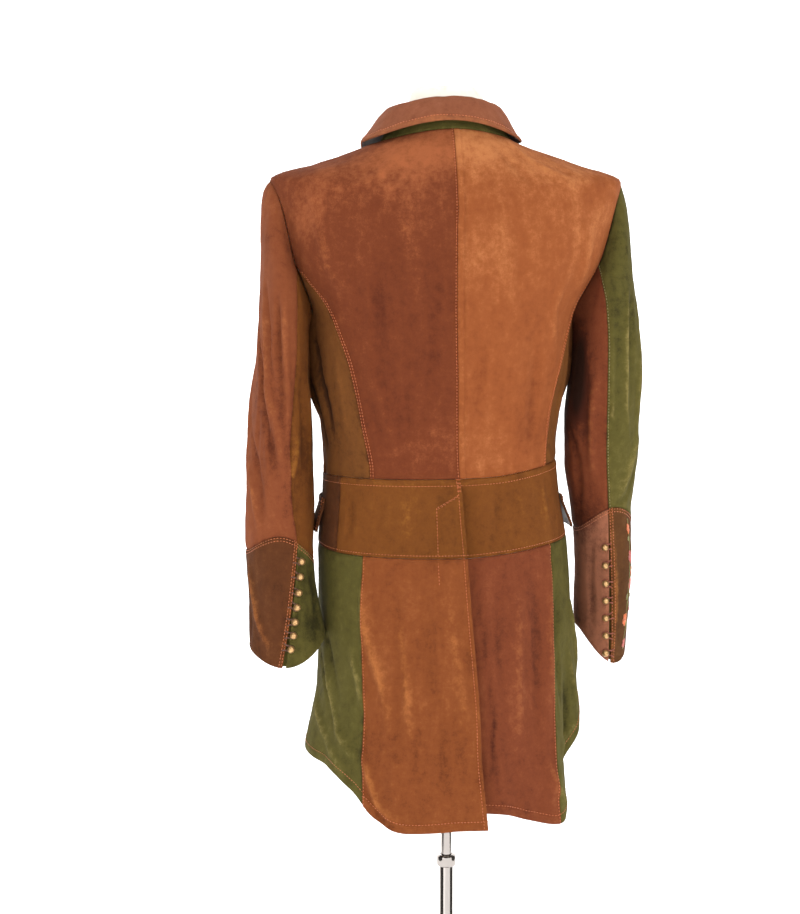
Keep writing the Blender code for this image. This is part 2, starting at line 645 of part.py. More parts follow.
def build_sleeves():
    upper_colours = {1: RUST, -1: GREEN}
    under_colours = {1: OLD_GOLD, -1: RUST}
    outer_cuffs = {1: DARK_BROWN, -1: OLIVE_TAN}
    inner_cuffs = {1: GREEN, -1: MAUVE}
    turns = 360 // ARMHOLE_STEP
    upper_columns = round((SLEEVE_BACK_SEAM - SLEEVE_FRONT_SEAM) / ARMHOLE_STEP)
    for side, name in SIDE_NAMES.items():
        def seam(level, side=side):
            return SLEEVE[side].read("seam", level) if level > 0 else SLEEVE_BACK_SEAM

        def front_seam(_level):
            return SLEEVE_FRONT_SEAM

        def under_end(_level):
            return SLEEVE_FRONT_SEAM + 360

        def slit_outer(level, side=side, seam=seam):
            return seam(level) - slit_gap(side, level)

        def slit_inner(level, side=side, seam=seam):
            return seam(level) + slit_gap(side, level)

        def lap_low(level, seam=seam):
            return seam(level) - UNDERLAP_REACH

        def lap_high(level, seam=seam):
            return seam(level) + UNDERLAP_REACH

        top, hem = CUFF_TOP[side], CUFF_HEM[side]
        sleeve_levels = [0.0, 0.01, 0.028, 0.058] + spread(0.10, top, 6)
        cuff_levels = spread(top, hem, 4)
        all_sides = ("first", "last", "top", "bottom")
        sleeve_wall("sleeve_upper_" + name, side, sleeve_levels, upper_columns, front_seam, seam,
                    upper_colours[side], ("first", "last", "top"))
        sleeve_wall("sleeve_under_" + name, side, sleeve_levels, turns - upper_columns, seam,
                    under_end, under_colours[side], ("first", "last", "top"))
        sleeve_wall("cuff_outer_" + name, side, cuff_levels, upper_columns, front_seam,
                    slit_outer, outer_cuffs[side], ("first", "bottom"))
        sleeve_wall("cuff_inner_" + name, side, cuff_levels, turns - upper_columns, slit_inner,
                    under_end, inner_cuffs[side], ("last", "bottom"))
        lap_levels = spread(top + 0.004, hem - 0.002, 4)
        sleeve_wall("cuff_underlap_" + name, side, lap_levels, 2, lap_low, lap_high, GREEN,
                    all_sides, sink=LEATHER + UNDERLAP_GAP, thickness=UNDERLAP_LEATHER)


def collar_bearings():
    """The bearings of the bodice's neck edge, so that the collar meets it point for point."""
    centre = CENTRE_EDGE.read("bearing", NECK_LEVEL)
    step = (FRONT_EDGE - 90) / FRONT_COLUMNS
    front = [90 + step * index for index in range(1, FRONT_COLUMNS - 1)]
    right = [-bearing for bearing in reversed(front)]
    back = spread(-90, centre, BACK_COLUMNS) + spread(centre, 90, BACK_COLUMNS)[1:]
    return right + back + front


def collar_wall(name, table, levels, climb, colour):
    """A wall through the rings of a collar table; climb is 1 where its levels run upwards."""
    def surface(bearing, level):
        return ring_point(table, bearing, level)

    last = table.keys[-1] - 0.0006
    bearings = collar_bearings()
    points = [[surface(bearing, level) for bearing in bearings] for level in levels]
    normals = [[surface_normal(surface, bearing, max(0.0006, min(level, last)), 0.5, 0.0005) * climb
                for bearing in bearings] for level in levels]
    cloth_wall(name, points, normals, colour)


def build_collar():
    """A stand on the neck seam and a fall that rolls over its top; both open at the front."""
    collar_wall("collar_stand", COLLAR, [0.0, 0.018, 0.034], 1, GREEN)
    collar_wall("collar_fall", FALL, [0.0, 0.007, 0.015, 0.030, 0.046], -1, RUST)


def build_flaps():
    """A pocket flap on each side of the waistband, standing off a little at its foot."""
    def lift(_bearing, level):
        return LEATHER + FLAP_GAP + FLAP_STAND_OFF * smooth_step(FLAP_TOP, FLAP_FOOT, level)

    def flap_level(row, _bearing):
        return row

    for side, name in SIDE_NAMES.items():
        def back_edge(_row, side=side):
            return side * FLAP_BACK_EDGE

        def front_edge(_row, side=side):
            return side * FLAP_FRONT_EDGE

        body_panel("pocket_flap_" + name, spread(FLAP_FOOT, FLAP_TOP, 2), 6, back_edge,
                   front_edge, flap_level, DARK_BROWN, (), lift)


def add_ball_button(name, panel_name, wanted):
    """A brass ball that sits on the panel's leather, at the place nearest the wanted one."""
    panel = bpy.data.objects[panel_name]
    _, place, normal, _ = panel.closest_point_on_mesh(wanted)
    mesh = bpy.data.meshes.new(name)
    work = bmesh.new()
    bmesh.ops.create_uvsphere(work, u_segments=10, v_segments=6, radius=BUTTON_RADIUS)
    bmesh.ops.translate(work, verts=work.verts, vec=place + normal * (BUTTON_RADIUS + SEAM_GAP))
    work.to_mesh(mesh)
    work.free()
    mesh.shade_smooth()
    add_object(name, mesh, BRASS, 0.35, 1.0)


def build_buttons():
    """Seven balls down each cuff's slit and five down the front."""
    bpy.context.view_layer.update()
    for side, name in SIDE_NAMES.items():
        for number, part in enumerate(spread(*CUFF_BUTTON_SPAN[side], 6), start=1):
            level = CUFF_TOP[side] + (CUFF_HEM[side] - CUFF_TOP[side]) * part
            from_slit = CUFF_BUTTON_OFFSET[side]
            angle = SLEEVE[side].read("seam", level) + slit_gap(side, level) + from_slit
            add_ball_button("cuff_button_%s_%d" % (name, number), "cuff_inner_" + name,
                            sleeve_point(side, angle, level))
    for number, level in enumerate(FRONT_BUTTON_LEVELS, start=1):
        panel_name = "bodice_front_left" if level > WAIST_LEVEL + 0.01 else "waistband_front_left"
        place = body_point(FRONT_BUTTON_LINE, level)
        add_ball_button("front_button_%d" % number, panel_name, place)


def ring_solid(name, rings, colour, roughness, metallic, sharp_angle=40):
    """A closed solid through rings of equal counts, with a flat cap at each end."""
    count = len(rings[0])
    vertices = [point for ring in rings for point in ring]
    faces = [tuple(range(count))]
    for row in range(len(rings) - 1):
        for column in range(count):
            start = row * count + column
            after = row * count + (column + 1) % count
            faces.append((start, after, after + count, start + count))
    faces.append(tuple(range((len(rings) - 1) * count, len(rings) * count)))
    add_object(name, finish_mesh(name, vertices, faces, sharp_angle), colour, roughness, metallic)


def build_dress_form():
    """The smooth torso inside the coat, with a short neck and a bore for the pole."""
    bearings = [360 * index / ROUND_SIDES for index in range(ROUND_SIDES)]

    def circle(radius, height):
        return [Vector((radius * math.sin(math.radians(bearing)),
                        radius * math.cos(math.radians(bearing)), height)) for bearing in bearings]

    def oval(half_width, half_depth, height):
        return [Vector((half_width * math.sin(math.radians(bearing)) + NECK_SHIFT,
                        half_depth * math.cos(math.radians(bearing)), height))
                for bearing in bearings]

    def neck_base(inset, drop):
        ring = [ring_point(COLLAR, bearing, 0.0) for bearing in bearings]
        middle = Vector((NECK_SHIFT, 0.0, 0.0))
        return [Vector((point.x, point.y, 0.0)) - inset * (point - middle).xy.to_3d().normalized()
                + Vector((0.0, 0.0, point.z - drop)) for point in ring]

    def torso_ring(level):
        ring = []
        for bearing in bearings:
            past_side = abs((bearing + 180) % 360 - 180) - 90
            on_shoulder = smooth_step(1.332, 1.348, level) * (1 - smooth_step(1.369, 1.38, level))
            on_shoulder *= 1 - smooth_step(4, 24, abs(past_side))
            in_front = smooth_step(1.30, 1.34, level) * smooth_step(2, 20, past_side)
            clearance = FORM_CLEARANCE + (SHOULDER_CLEARANCE - FORM_CLEARANCE) * on_shoulder
            clearance += FORM_CLEARANCE * in_front
            normal = body_normal(bearing, level)
            ring.append(ring_point(BODY, bearing, level) - normal * (LEATHER + clearance))
        return ring

    bore = POLE_RADIUS + BORE_CLEARANCE
    levels = [0.872, 0.90, 0.94, 0.98, 1.02, 1.07, 1.12, 1.17, 1.21, 1.25, 1.29, 1.312, 1.33,
              1.349, 1.3685, 1.385]
    bottom = [Vector((point.x * 0.96, point.y * 0.96, FORM_BOTTOM)) for point in torso_ring(0.872)]
    rings = [circle(bore, FORM_BORE_TOP), circle(bore, FORM_BOTTOM), bottom]
    rings += [torso_ring(level) for level in levels]
    rings += [neck_base(0.013, 0.011), oval(0.050, 0.045, 1.418), oval(0.045, 0.042, 1.440),
              oval(0.041, 0.038, 1.453), oval(0.037, 0.034, 1.458)]
    ring_solid("dress_form", rings, FORM_CLOTH, 0.7, 0.0)


def turned(name, profile, colour, roughness, metallic):
    """A turned piece: a profile of radius and height, spun round the pole's axis."""
    mesh = bpy.data.meshes.new(name)
    vertices = [(radius, 0.0, height) for radius, height in profile]
    edges = [(index, index + 1) for index in range(len(profile) - 1)]
    if profile[0][0] > 0:
        edges.append((len(profile) - 1, 0))
    mesh.from_pydata(vertices, edges, [])
    item = add_object(name, mesh, colour, roughness, metallic)
    screw = item.modifiers.new("turn", "SCREW")
    screw.steps = ROUND_SIDES
    screw.render_steps = ROUND_SIDES
    screw.use_merge_vertices = True
    screw.merge_threshold = 0.00005
    screw.use_smooth_shade = False


def build_stand():
    """A round weighted base, its hub, the outer tube, the ring at its mouth and the pole."""
    hub_hole = TUBE_RADIUS + SEAM_GAP
    hub_foot = BASE_HEIGHT + SEAM_GAP
    turned("stand_base", [(0.0, BASE_HEIGHT), (BASE_RADIUS - 0.006, BASE_HEIGHT - 0.003),
                          (BASE_RADIUS - 0.001, BASE_HEIGHT - 0.006), (BASE_RADIUS, 0.003),
                          (BASE_RADIUS - 0.002, 0.0), (0.0, 0.0)], CHROME, 0.2, 1.0)
    turned("stand_hub", [(hub_hole, hub_foot + HUB_HEIGHT),
                         (TUBE_RADIUS + 0.005, hub_foot + HUB_HEIGHT),
                         (TUBE_RADIUS + 0.008, hub_foot + 0.012), (HUB_RADIUS, hub_foot + 0.005),
                         (HUB_RADIUS, hub_foot), (hub_hole, hub_foot)], CHROME, 0.2, 1.0)
    inner = TUBE_RADIUS - TUBE_WALL
    turned("stand_tube", [(inner, TUBE_TOP), (TUBE_RADIUS, TUBE_TOP), (TUBE_RADIUS, hub_foot),
                          (inner, hub_foot)], CHROME, 0.15, 1.0)
    hole = POLE_RADIUS + BORE_CLEARANCE
    foot = TUBE_TOP + SEAM_GAP
    turned("stand_ring", [(hole, foot + RING_HEIGHT), (RING_RADIUS - 0.003, foot + RING_HEIGHT),
                          (RING_RADIUS, foot + RING_HEIGHT - 0.003), (RING_RADIUS, foot + 0.003),
                          (RING_RADIUS - 0.001, foot), (hole, foot)], CHROME, 0.2, 1.0)
    pole_top = FORM_BORE_TOP - SEAM_GAP
    turned("stand_pole", [(0.0, pole_top), (POLE_RADIUS, pole_top), (POLE_RADIUS, POLE_BOTTOM),
                          (0.0, POLE_BOTTOM)], CHROME, 0.15, 1.0)


def main():
    for item in list(bpy.data.objects):
        bpy.data.objects.remove(item, do_unlink=True)
    coat = bpy.data.collections.new("suede_coat")
    bpy.context.scene.collection.children.link(coat)
    build_bodice()
    build_waistband()
    build_skirt()
    build_sleeves()
    build_collar()
    build_flaps()
    build_buttons()
    build_dress_form()
    build_stand()


main()
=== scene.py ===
"""Looks of a patchwork suede coat on a limbless dress form with a telescoping stand.

Metres, +Z up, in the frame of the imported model. The coat's front faces -Y and the wearer's
left is +X. A bearing is an angle round the body in degrees: 0 is the centre back, 90 the
wearer's left side, 180 the centre front and -90 the wearer's right side. A level is a height
up the back, or a distance down a sleeve. A sleeve angle is 0 outside, 90 at the back, 180
inside and 270 in front.
"""
import json
import logging
import math
from dataclasses import dataclass, field
from enum import Enum
from typing import Callable, Iterable, Mapping, Sequence

import bmesh
import bpy
import numpy as np
from bpy.types import Material, Mesh, Node, NodeSocket, NodeTree, Object
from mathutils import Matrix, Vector

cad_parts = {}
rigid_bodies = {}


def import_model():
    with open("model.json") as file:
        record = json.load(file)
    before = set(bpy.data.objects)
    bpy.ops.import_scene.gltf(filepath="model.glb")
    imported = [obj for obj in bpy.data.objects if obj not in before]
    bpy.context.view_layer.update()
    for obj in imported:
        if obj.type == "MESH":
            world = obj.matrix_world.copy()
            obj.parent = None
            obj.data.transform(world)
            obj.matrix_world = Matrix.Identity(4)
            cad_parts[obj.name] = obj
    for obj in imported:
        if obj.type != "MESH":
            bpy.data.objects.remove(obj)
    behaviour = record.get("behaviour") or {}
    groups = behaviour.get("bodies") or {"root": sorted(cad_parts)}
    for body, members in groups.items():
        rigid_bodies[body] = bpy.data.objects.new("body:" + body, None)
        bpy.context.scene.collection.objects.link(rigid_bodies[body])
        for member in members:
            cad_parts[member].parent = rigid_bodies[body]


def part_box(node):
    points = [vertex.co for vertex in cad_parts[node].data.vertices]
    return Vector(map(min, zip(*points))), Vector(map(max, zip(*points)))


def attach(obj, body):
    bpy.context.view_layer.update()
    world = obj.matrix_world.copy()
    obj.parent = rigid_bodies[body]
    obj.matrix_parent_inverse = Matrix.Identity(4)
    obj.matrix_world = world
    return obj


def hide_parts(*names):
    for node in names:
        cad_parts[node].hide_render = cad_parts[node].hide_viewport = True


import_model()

LOG = logging.getLogger("suede_coat")

Places = np.ndarray
Surface = Callable[[Places, Places], Places]
Line = Callable[[float], float]

LEATHER = 0.002
HALF_GAP = 0.00015
LAP_LIFT = 0.0028
UNDERLAP_SINK = 0.0037
UNDERLAP_LEATHER = 0.0015
UNDERLAP_REACH = 12.0
GRID_STEP = 0.0045
DYE_DEPTH = 0.62
RELIEF_SCALE = 1.45
# Narrow creases paint shade into their troughs and a highlight onto their ridges: the shade for
# each metre of height, its darkest and lightest values, and the widest crease that gets it.
CREASE_SHADE, DARKEST_PAINTED_TROUGH, LIGHTEST_PAINTED_RIDGE, WIDEST_SHADED = 85.0, -0.34, 0.3, 0.02
METRES_A_DEGREE = 0.00085
SEAM_STEPS = (0.0, 0.0007, 0.0016, 0.0026, 0.0038, 0.0052, 0.0066, 0.008, 0.0096, 0.0116, 0.0145)

ARMHOLE_MIDDLE = 1.26
ARMHOLE_HALF_HEIGHT = 0.07
ARMHOLE_BACK_REACH = 13.5
ARMHOLE_FRONT_REACH = 18.0
PRINCESS_JOIN = 108.0
SLEEVE_BACK_SEAM = 108.0
SLEEVE_FRONT_SEAM = -126.0
SHOULDER_LEVEL = ARMHOLE_MIDDLE + ARMHOLE_HALF_HEIGHT
UNDERARM_LEVEL = ARMHOLE_MIDDLE - ARMHOLE_HALF_HEIGHT
NECK_LEVEL = 1.407
TOP_NORMAL_LEVEL = NECK_LEVEL - 0.0006
WAIST_LEVEL = 1.005

BODY_COLUMNS = ("level", "z_back", "z_side", "z_front", "half_width", "back_depth", "front_depth",
    "fullness", "shift")
BODY_ROWS = (
    (0.56, 0.56, 0.56, 0.56, 0.176, 0.172, 0.16, 2.2, 0.004),
    (0.671, 0.671, 0.671, 0.671, 0.168, 0.16, 0.15, 2.2, 0.005),
    (0.745, 0.745, 0.745, 0.745, 0.158, 0.146, 0.138, 2.2, 0.001),
    (0.857, 0.857, 0.857, 0.857, 0.152, 0.128, 0.124, 2.3, 0.004),
    (0.912, 0.912, 0.912, 0.912, 0.15, 0.118, 0.116, 2.3, 0.0055),
    (0.985, 0.985, 0.985, 0.985, 0.1417, 0.107, 0.108, 2.3, 0.009),
    (1.0215, 1.0215, 1.0215, 1.0215, 0.1393, 0.104, 0.107, 2.3, 0.0097),
    (1.076, 1.076, 1.076, 1.076, 0.1435, 0.108, 0.113, 2.3, 0.01),
    (1.13, 1.13, 1.13, 1.13, 0.149, 0.115, 0.121, 2.4, 0.009),
    (1.19, 1.19, 1.19, 1.19, 0.156, 0.121, 0.127, 2.4, 0.007),
    (1.25, 1.245, 1.262, 1.24, 0.19, 0.124, 0.122, 2.4, 0.005),
    (1.3, 1.295, 1.32, 1.285, 0.205, 0.12, 0.112, 2.3, 0.003),
    (1.33, 1.323, 1.348, 1.3, 0.21, 0.114, 0.103, 2.2, 0.002),
    (1.37, 1.37, 1.3715, 1.325, 0.144, 0.095, 0.092, 2.1, 0.002),
    (1.407, 1.407, 1.3955, 1.345, 0.078, 0.07, 0.082, 2.0, 0.002),
)

# The collar stands on the neck seam, rolls over at the crest and falls to its edge.
COLLAR_ROWS = (
    (0.0, 1.4073, 1.3958, 1.3453, 0.078, 0.07, 0.082, 2.0, 0.002), (0.018, 1.425, 1.414, 1.36,
    0.069, 0.0625, 0.077, 2.0, 0.0035), (0.034, 1.4405, 1.43, 1.372, 0.062, 0.056, 0.074, 2.0,
    0.005),)
FALL_ROWS = (
    (0.0, 1.4432, 1.4332, 1.3756, 0.0605, 0.0545, 0.0725, 2.0, 0.005), (0.007, 1.4448, 1.4348,
    1.377, 0.066, 0.06, 0.079, 2.0, 0.0055), (0.015, 1.441, 1.429, 1.371, 0.073, 0.067, 0.087, 2.0,
    0.006), (0.03, 1.429, 1.411, 1.35, 0.085, 0.077, 0.1, 2.0, 0.007), (0.046, 1.4165, 1.395,
    1.325, 0.096, 0.0855, 0.11, 2.0, 0.008),)

LEVEL_COLUMNS = ("bearing", "level")
WAIST_SEAM_ROWS = ((-190, 1.008), (-90, 1.018), (-69, 1.0165), (-49, 1.011), (-26, 1.0055),
    (0, 1.004), (70, 1.0035), (110, 1.001), (190, 1.008))
BAND_SEAM_ROWS = ((-190, 0.918), (-90, 0.928), (-57, 0.9235), (-27, 0.9165), (0, 0.913),
    (60, 0.9145), (90, 0.917), (190, 0.918))
HEM_LEFT_ROWS = ((-14, 0.606), (1, 0.606), (20, 0.602), (28, 0.606), (38, 0.62), (48, 0.645),
    (60, 0.662), (90, 0.671), (120, 0.678), (150, 0.69), (190, 0.698))
HEM_RIGHT_ROWS = ((-190, 0.698), (-150, 0.706), (-120, 0.72), (-90, 0.724), (-75, 0.703),
    (-60, 0.662), (-47, 0.614), (-37, 0.604), (-27, 0.611), (-14, 0.622), (14, 0.626))

SEAM_COLUMNS = ("level", "bearing")
CENTRE_EDGE_ROWS = ((0.56, -9.5), (0.61, -8.7), (0.76, -6.0), (0.917, -5.2), (0.985, -5.2),
    (1.005, -4.3), (1.096, -2.6), (1.21, 0.8), (1.3, 2.0), (1.407, 2.0))
PRINCESS_LEFT_ROWS = ((0.9, 48.0), (1.007, 48.5), (1.054, 51.5), (1.13, 55.5), (1.17, 61.0),
    (1.207, 67.8), (1.2384, 77.2))
PRINCESS_RIGHT_ROWS = ((0.9, 60.5), (1.017, 61.5), (1.11, 63.5), (1.13, 65.5), (1.187, 71.5),
    (1.226, 75.0), (1.2384, 77.2))
SKIRT_SEAM_LEFT_ROWS = ((0.56, 41.0), (0.635, 42.4), (0.77, 48.5), (0.93, 50.5))
SKIRT_SEAM_RIGHT_ROWS = ((0.56, 37.6), (0.638, 39.2), (0.79, 46.6), (0.93, 56.5))
BAND_FOLD = {1: 66.5, -1: 88.0}
SIDE_FRONT_SEAM = 126.0
FRONT_EDGE = 185.0
UNDER_EDGE = 6.5
FLAP_TOP = 0.974
FLAP_FOOT = 0.934
FLAP_BACK_EDGE = 80.0
FLAP_FRONT_EDGE = 126.0
FLAP_GAP = 0.001
FLAP_STAND_OFF = 0.006

# A fold of the skirt: its bearing, half its width, how far it stands out at the hem (or in,
# where negative), the level where it starts and how far its foot leans round the body.
FOLD_ROWS = (
    (-165, 12, 0.006, 0.88, 0), (-146, 10, -0.007, 0.86, 3), (-126, 13, 0.009, 0.88, -3),
    (-106, 10, -0.008, 0.85, 2), (-86, 15, 0.004, 0.87, 0), (-61, 12, -0.025, 0.86, 3),
    (-41, 10, 0.013, 0.88, 2), (-21, 8, -0.005, 0.84, -1), (14, 9, -0.003, 0.8, 2),
    (29, 8, 0.006, 0.82, -2), (47, 9, -0.004, 0.8, -3), (64, 9, -0.007, 0.78, 3),
    (82, 11, 0.004, 0.75, 2), (102, 11, -0.009, 0.84, 0), (122, 12, 0.008, 0.86, 3),
    (143, 11, -0.008, 0.87, -2), (163, 12, 0.006, 0.88, 0),)
HEM_DEPTH_LEVEL = 0.6

# Sleeve rings, at a distance down the sleeve from the armhole. x is measured from the
# pole's axis, and seam is the sleeve angle of the back seam.
SLEEVE_COLUMNS = ("level", "x_out", "x_in", "y_mid", "half_y", "z_out", "z_back", "z_in",
    "z_front", "seam")
SLEEVE_LEFT_ROWS = (
    (0.018, 0.22, 0.1668, 0.0, 0.058, 1.331, 1.254, 1.177, 1.25, 110),
    (0.058, 0.2238, 0.168, 0.0, 0.067, 1.291, 1.224, 1.15, 1.221, 114),
    (0.115, 0.2249, 0.169, 0.0, 0.071, 1.225, 1.17, 1.112, 1.17, 113),
    (0.185, 0.2292, 0.169, 0.0, 0.069, 1.148, 1.108, 1.062, 1.106, 107),
    (0.275, 0.2385, 0.1664, 0.004, 0.064, 1.045, 1.031, 1.006, 1.027, 102),
    (0.345, 0.2423, 0.1632, 0.012, 0.059, 0.971, 0.968, 0.953, 0.958, 106),
    (0.395, 0.2438, 0.1642, 0.02, 0.055, 0.915, 0.936, 0.902, 0.897, 115),
    (0.465, 0.2417, 0.1602, 0.033, 0.05, 0.858, 0.858, 0.857, 0.855, 100),
    (0.545, 0.2414, 0.1525, 0.045, 0.045, 0.799, 0.785, 0.815, 0.811, 79),
)
SLEEVE_RIGHT_ROWS = (
    (0.018, 0.2135, 0.1535, 0.0, 0.058, 1.331, 1.254, 1.177, 1.25, 107),
    (0.058, 0.2188, 0.154, 0.0, 0.067, 1.291, 1.224, 1.15, 1.221, 105),
    (0.115, 0.224, 0.1535, 0.0, 0.071, 1.225, 1.17, 1.112, 1.17, 104),
    (0.185, 0.2318, 0.1495, 0.0, 0.069, 1.148, 1.108, 1.062, 1.106, 104),
    (0.275, 0.2338, 0.1494, -0.003, 0.064, 1.045, 1.034, 1.008, 1.028, 103),
    (0.335, 0.2301, 0.1555, -0.006, 0.059, 0.98, 0.985, 0.97, 0.965, 101),
    (0.375, 0.2275, 0.1595, -0.008, 0.056, 0.942, 0.96, 0.931, 0.92, 99),
    (0.455, 0.2284, 0.162, -0.011, 0.052, 0.86, 0.863, 0.87, 0.86, 94),
    (0.53, 0.2234, 0.1636, -0.014, 0.048, 0.778, 0.77, 0.807, 0.808, 87),
)
SLEEVE_CREASES = (
    (1, 60, 10, 0.0035, 0.1, 0.36), (1, 38, 9, -0.0025, 0.12, 0.34),
    (-1, 40, 10, 0.0025, 0.1, 0.34), (-1, 165, 55, 0.0065, 0.03, 0.37),
    (1, 168, 60, 0.005, 0.03, 0.37),)


class Side(Enum):
    """The wearer's left or right."""

    LEFT = 1
    RIGHT = -1

    @property
    def word(self) -> str:
        """The side as the pieces' names have it."""
        return self.name.lower()


class Edge(Enum):
    """An edge of a panel's grid: its first and last column, its first and last row."""

    FIRST = "first"
    LAST = "last"
    START = "start"
    END = "end"


def monotone_slopes(keys: Places, values: Places) -> Places:
    """Find the slopes of a smooth curve that never overshoots.

    Args:
        keys: The places of the rows, in rising order.
        values: The rows' values, along the first axis.

    Returns:
        A slope for every value.
    """
    steps = np.diff(keys).reshape((-1,) + (1,) * (values.ndim - 1))
    rises = np.diff(values, axis=0) / steps
    before, after = rises[:-1], rises[1:]
    near, far = 2 * steps[1:] + steps[:-1], steps[1:] + 2 * steps[:-1]
    same = before * after > 0
    shared = near / np.where(same, before, 1.0) + far / np.where(same, after, 1.0)
    slopes = np.empty_like(values)
    slopes[0], slopes[-1] = rises[0], rises[-1]
    slopes[1:-1] = np.where(same, (near + far) / np.where(same, shared, 1.0), 0.0)
    return slopes


def read_curve(keys: Places, values: Places, slopes: Places, at: Places) -> Places:
    """Read a smooth curve, or one curve for each place.

    Args:
        keys: The places of the rows.
        values: One value a row, or one for each row and place.
        slopes: The slopes that belong to the values.
        at: Where to read.

    Returns:
        The value at each place.
    """
    at = np.asarray(at, dtype=float)
    index = np.clip(np.searchsorted(keys, at, side="right") - 1, 0, len(keys) - 2)
    step = keys[index + 1] - keys[index]
    part = np.clip((at - keys[index]) / step, 0.0, 1.0)
    here, there = (index,), (index + 1,)
    if values.ndim > 1:
        column = np.arange(len(at))
        here, there = (index, column), (index + 1, column)
        part, step = part[:, None], step[:, None]
    square, cube = part * part, part * part * part
    return ((2 * cube - 3 * square + 1) * values[here] + (cube - 2 * square + part) * slopes[here]
        * step + (3 * square - 2 * cube) * values[there] + (cube - square) * slopes[there] * step)


def smooth_step(low: float, high: float, value: Places) -> Places:
    """Rise softly from 0 at the low value to 1 at the high one."""
    part = np.clip((value - low) / (high - low), 0.0, 1.0)
    return part * part * (3 - 2 * part)


def unit(vectors: Places) -> Places:
    """Scale vectors to a length of one."""
    return vectors / np.maximum(np.linalg.norm(vectors, axis=-1, keepdims=True), 1e-12)


def fixed(bearing: float) -> Line:
    """Give a line that keeps to one bearing or sleeve angle."""
    return lambda _row: bearing


def turned_gap(angle: Places, middle: Places) -> Places:
    """Give how far an angle is from a middle one, between -180 and 180 degrees."""
    return (angle - middle + 180.0) % 360.0 - 180.0


class SectionTable:
    """Rows of named columns, read at any level by a smooth curve."""

    def __init__(self, columns: Sequence[str], rows: Sequence[Sequence[float]]) -> None:
        """Keep the rows and find their curves' slopes.

        Args:
            columns: The columns' names; the first is the key.
            rows: The rows, in rising order of the key.
        """
        self.columns = columns
        self.values = np.array(rows, dtype=float)
        self.slopes = monotone_slopes(self.values[:, 0], self.values)

    def read(self, name: str, key: Places) -> Places:
        """Read one column.

        Args:
            name: The column's name.
            key: Where to read it.

        Returns:
            The column's values there.
        """
        column = self.columns.index(name)
        return read_curve(self.values[:, 0], self.values[:, column], self.slopes[:, column], key)


BODY = SectionTable(BODY_COLUMNS, BODY_ROWS)
COLLAR = SectionTable(BODY_COLUMNS, COLLAR_ROWS)
FALL = SectionTable(BODY_COLUMNS, FALL_ROWS)
WAIST_SEAM = SectionTable(LEVEL_COLUMNS, WAIST_SEAM_ROWS)
BAND_SEAM = SectionTable(LEVEL_COLUMNS, BAND_SEAM_ROWS)
CENTRE_EDGE = SectionTable(SEAM_COLUMNS, CENTRE_EDGE_ROWS)
HEM = {Side.LEFT: SectionTable(LEVEL_COLUMNS, HEM_LEFT_ROWS),
    Side.RIGHT: SectionTable(LEVEL_COLUMNS, HEM_RIGHT_ROWS)}
PRINCESS = {Side.LEFT: SectionTable(SEAM_COLUMNS, PRINCESS_LEFT_ROWS),
    Side.RIGHT: SectionTable(SEAM_COLUMNS, PRINCESS_RIGHT_ROWS)}
SKIRT_SEAM = {Side.LEFT: SectionTable(SEAM_COLUMNS, SKIRT_SEAM_LEFT_ROWS),
    Side.RIGHT: SectionTable(SEAM_COLUMNS, SKIRT_SEAM_RIGHT_ROWS)}
SLEEVE = {Side.LEFT: SectionTable(SLEEVE_COLUMNS, SLEEVE_LEFT_ROWS),
    Side.RIGHT: SectionTable(SLEEVE_COLUMNS, SLEEVE_RIGHT_ROWS)}


def ring_points(table: SectionTable, bearing: Places, level: Places) -> Places:
    """Find places on oval rings round the body.

    Args:
        table: The section table of the rings.
        bearing: Bearings round the body.
        level: The rings' levels.

    Returns:
        The places, three numbers each.
    """
    angle = np.radians(bearing)
    sine, cosine = np.sin(angle), np.cos(angle)
    behind = cosine > 0
    depth = np.where(behind, table.read("back_depth", level), table.read("front_depth", level))
    end = np.where(behind, table.read("z_back", level), table.read("z_front", level))
    fullness = table.read("fullness", level)
    across = np.abs(sine / table.read("half_width", level)) ** fullness
    radius = (across + np.abs(cosine / depth) ** fullness) ** (-1 / fullness)
    side = table.read("z_side", level)
    return np.stack((radius * sine + table.read("shift", level), radius * cosine,
        side + (end - side) * cosine * cosine), axis=-1)


def surface_normals(surface: Surface, first: Places, second: Places, first_step: float,
        second_step: float) -> Places:
    """Find a surface's normals from small steps along it.

    Args:
        surface: The surface's places for its two coordinates.
        first: The first coordinate, which turns to the left.
        second: The second coordinate, which climbs.
        first_step: Half a small step of the first.
        second_step: Half a small step of the second.

    Returns:
        The unit normals.
    """
    along = surface(first + first_step, second) - surface(first - first_step, second)
    climb = surface(first, second + second_step) - surface(first, second - second_step)
    return unit(np.cross(climb, along))


class BodySurface:
    """The coat's outside round the body, from the neck seam to below the hem."""

    def points(self, bearing: Places, level: Places) -> Places:
        """Find places on the surface, with the skirt's folds.

        Args:
            bearing: Bearings round the body.
            level: Levels up the back.

        Returns:
            The places.
        """
        reach = np.zeros_like(bearing)
        for middle, half_width, out, start, lean in FOLD_ROWS:
            part = np.clip((start - level) / (start - HEM_DEPTH_LEVEL), 0.0, 1.2)
            away = turned_gap(bearing, middle + lean * part) / half_width
            across = np.where(np.abs(away) < 1, 0.5 + 0.5 * np.cos(np.pi * away), 0.0)
            reach = reach + out * part ** 1.4 * across
        angle = np.radians(bearing)
        out = np.stack((np.sin(angle), np.cos(angle), np.zeros_like(angle)), axis=-1)
        return ring_points(BODY, bearing, level) + out * reach[..., None]

    def normals(self, bearing: Places, level: Places) -> Places:
        """Give the outward normals at places on the surface."""
        return surface_normals(self.points, bearing, np.minimum(level, TOP_NORMAL_LEVEL), 0.5,
            0.0005)


BODY_SURFACE = BodySurface()


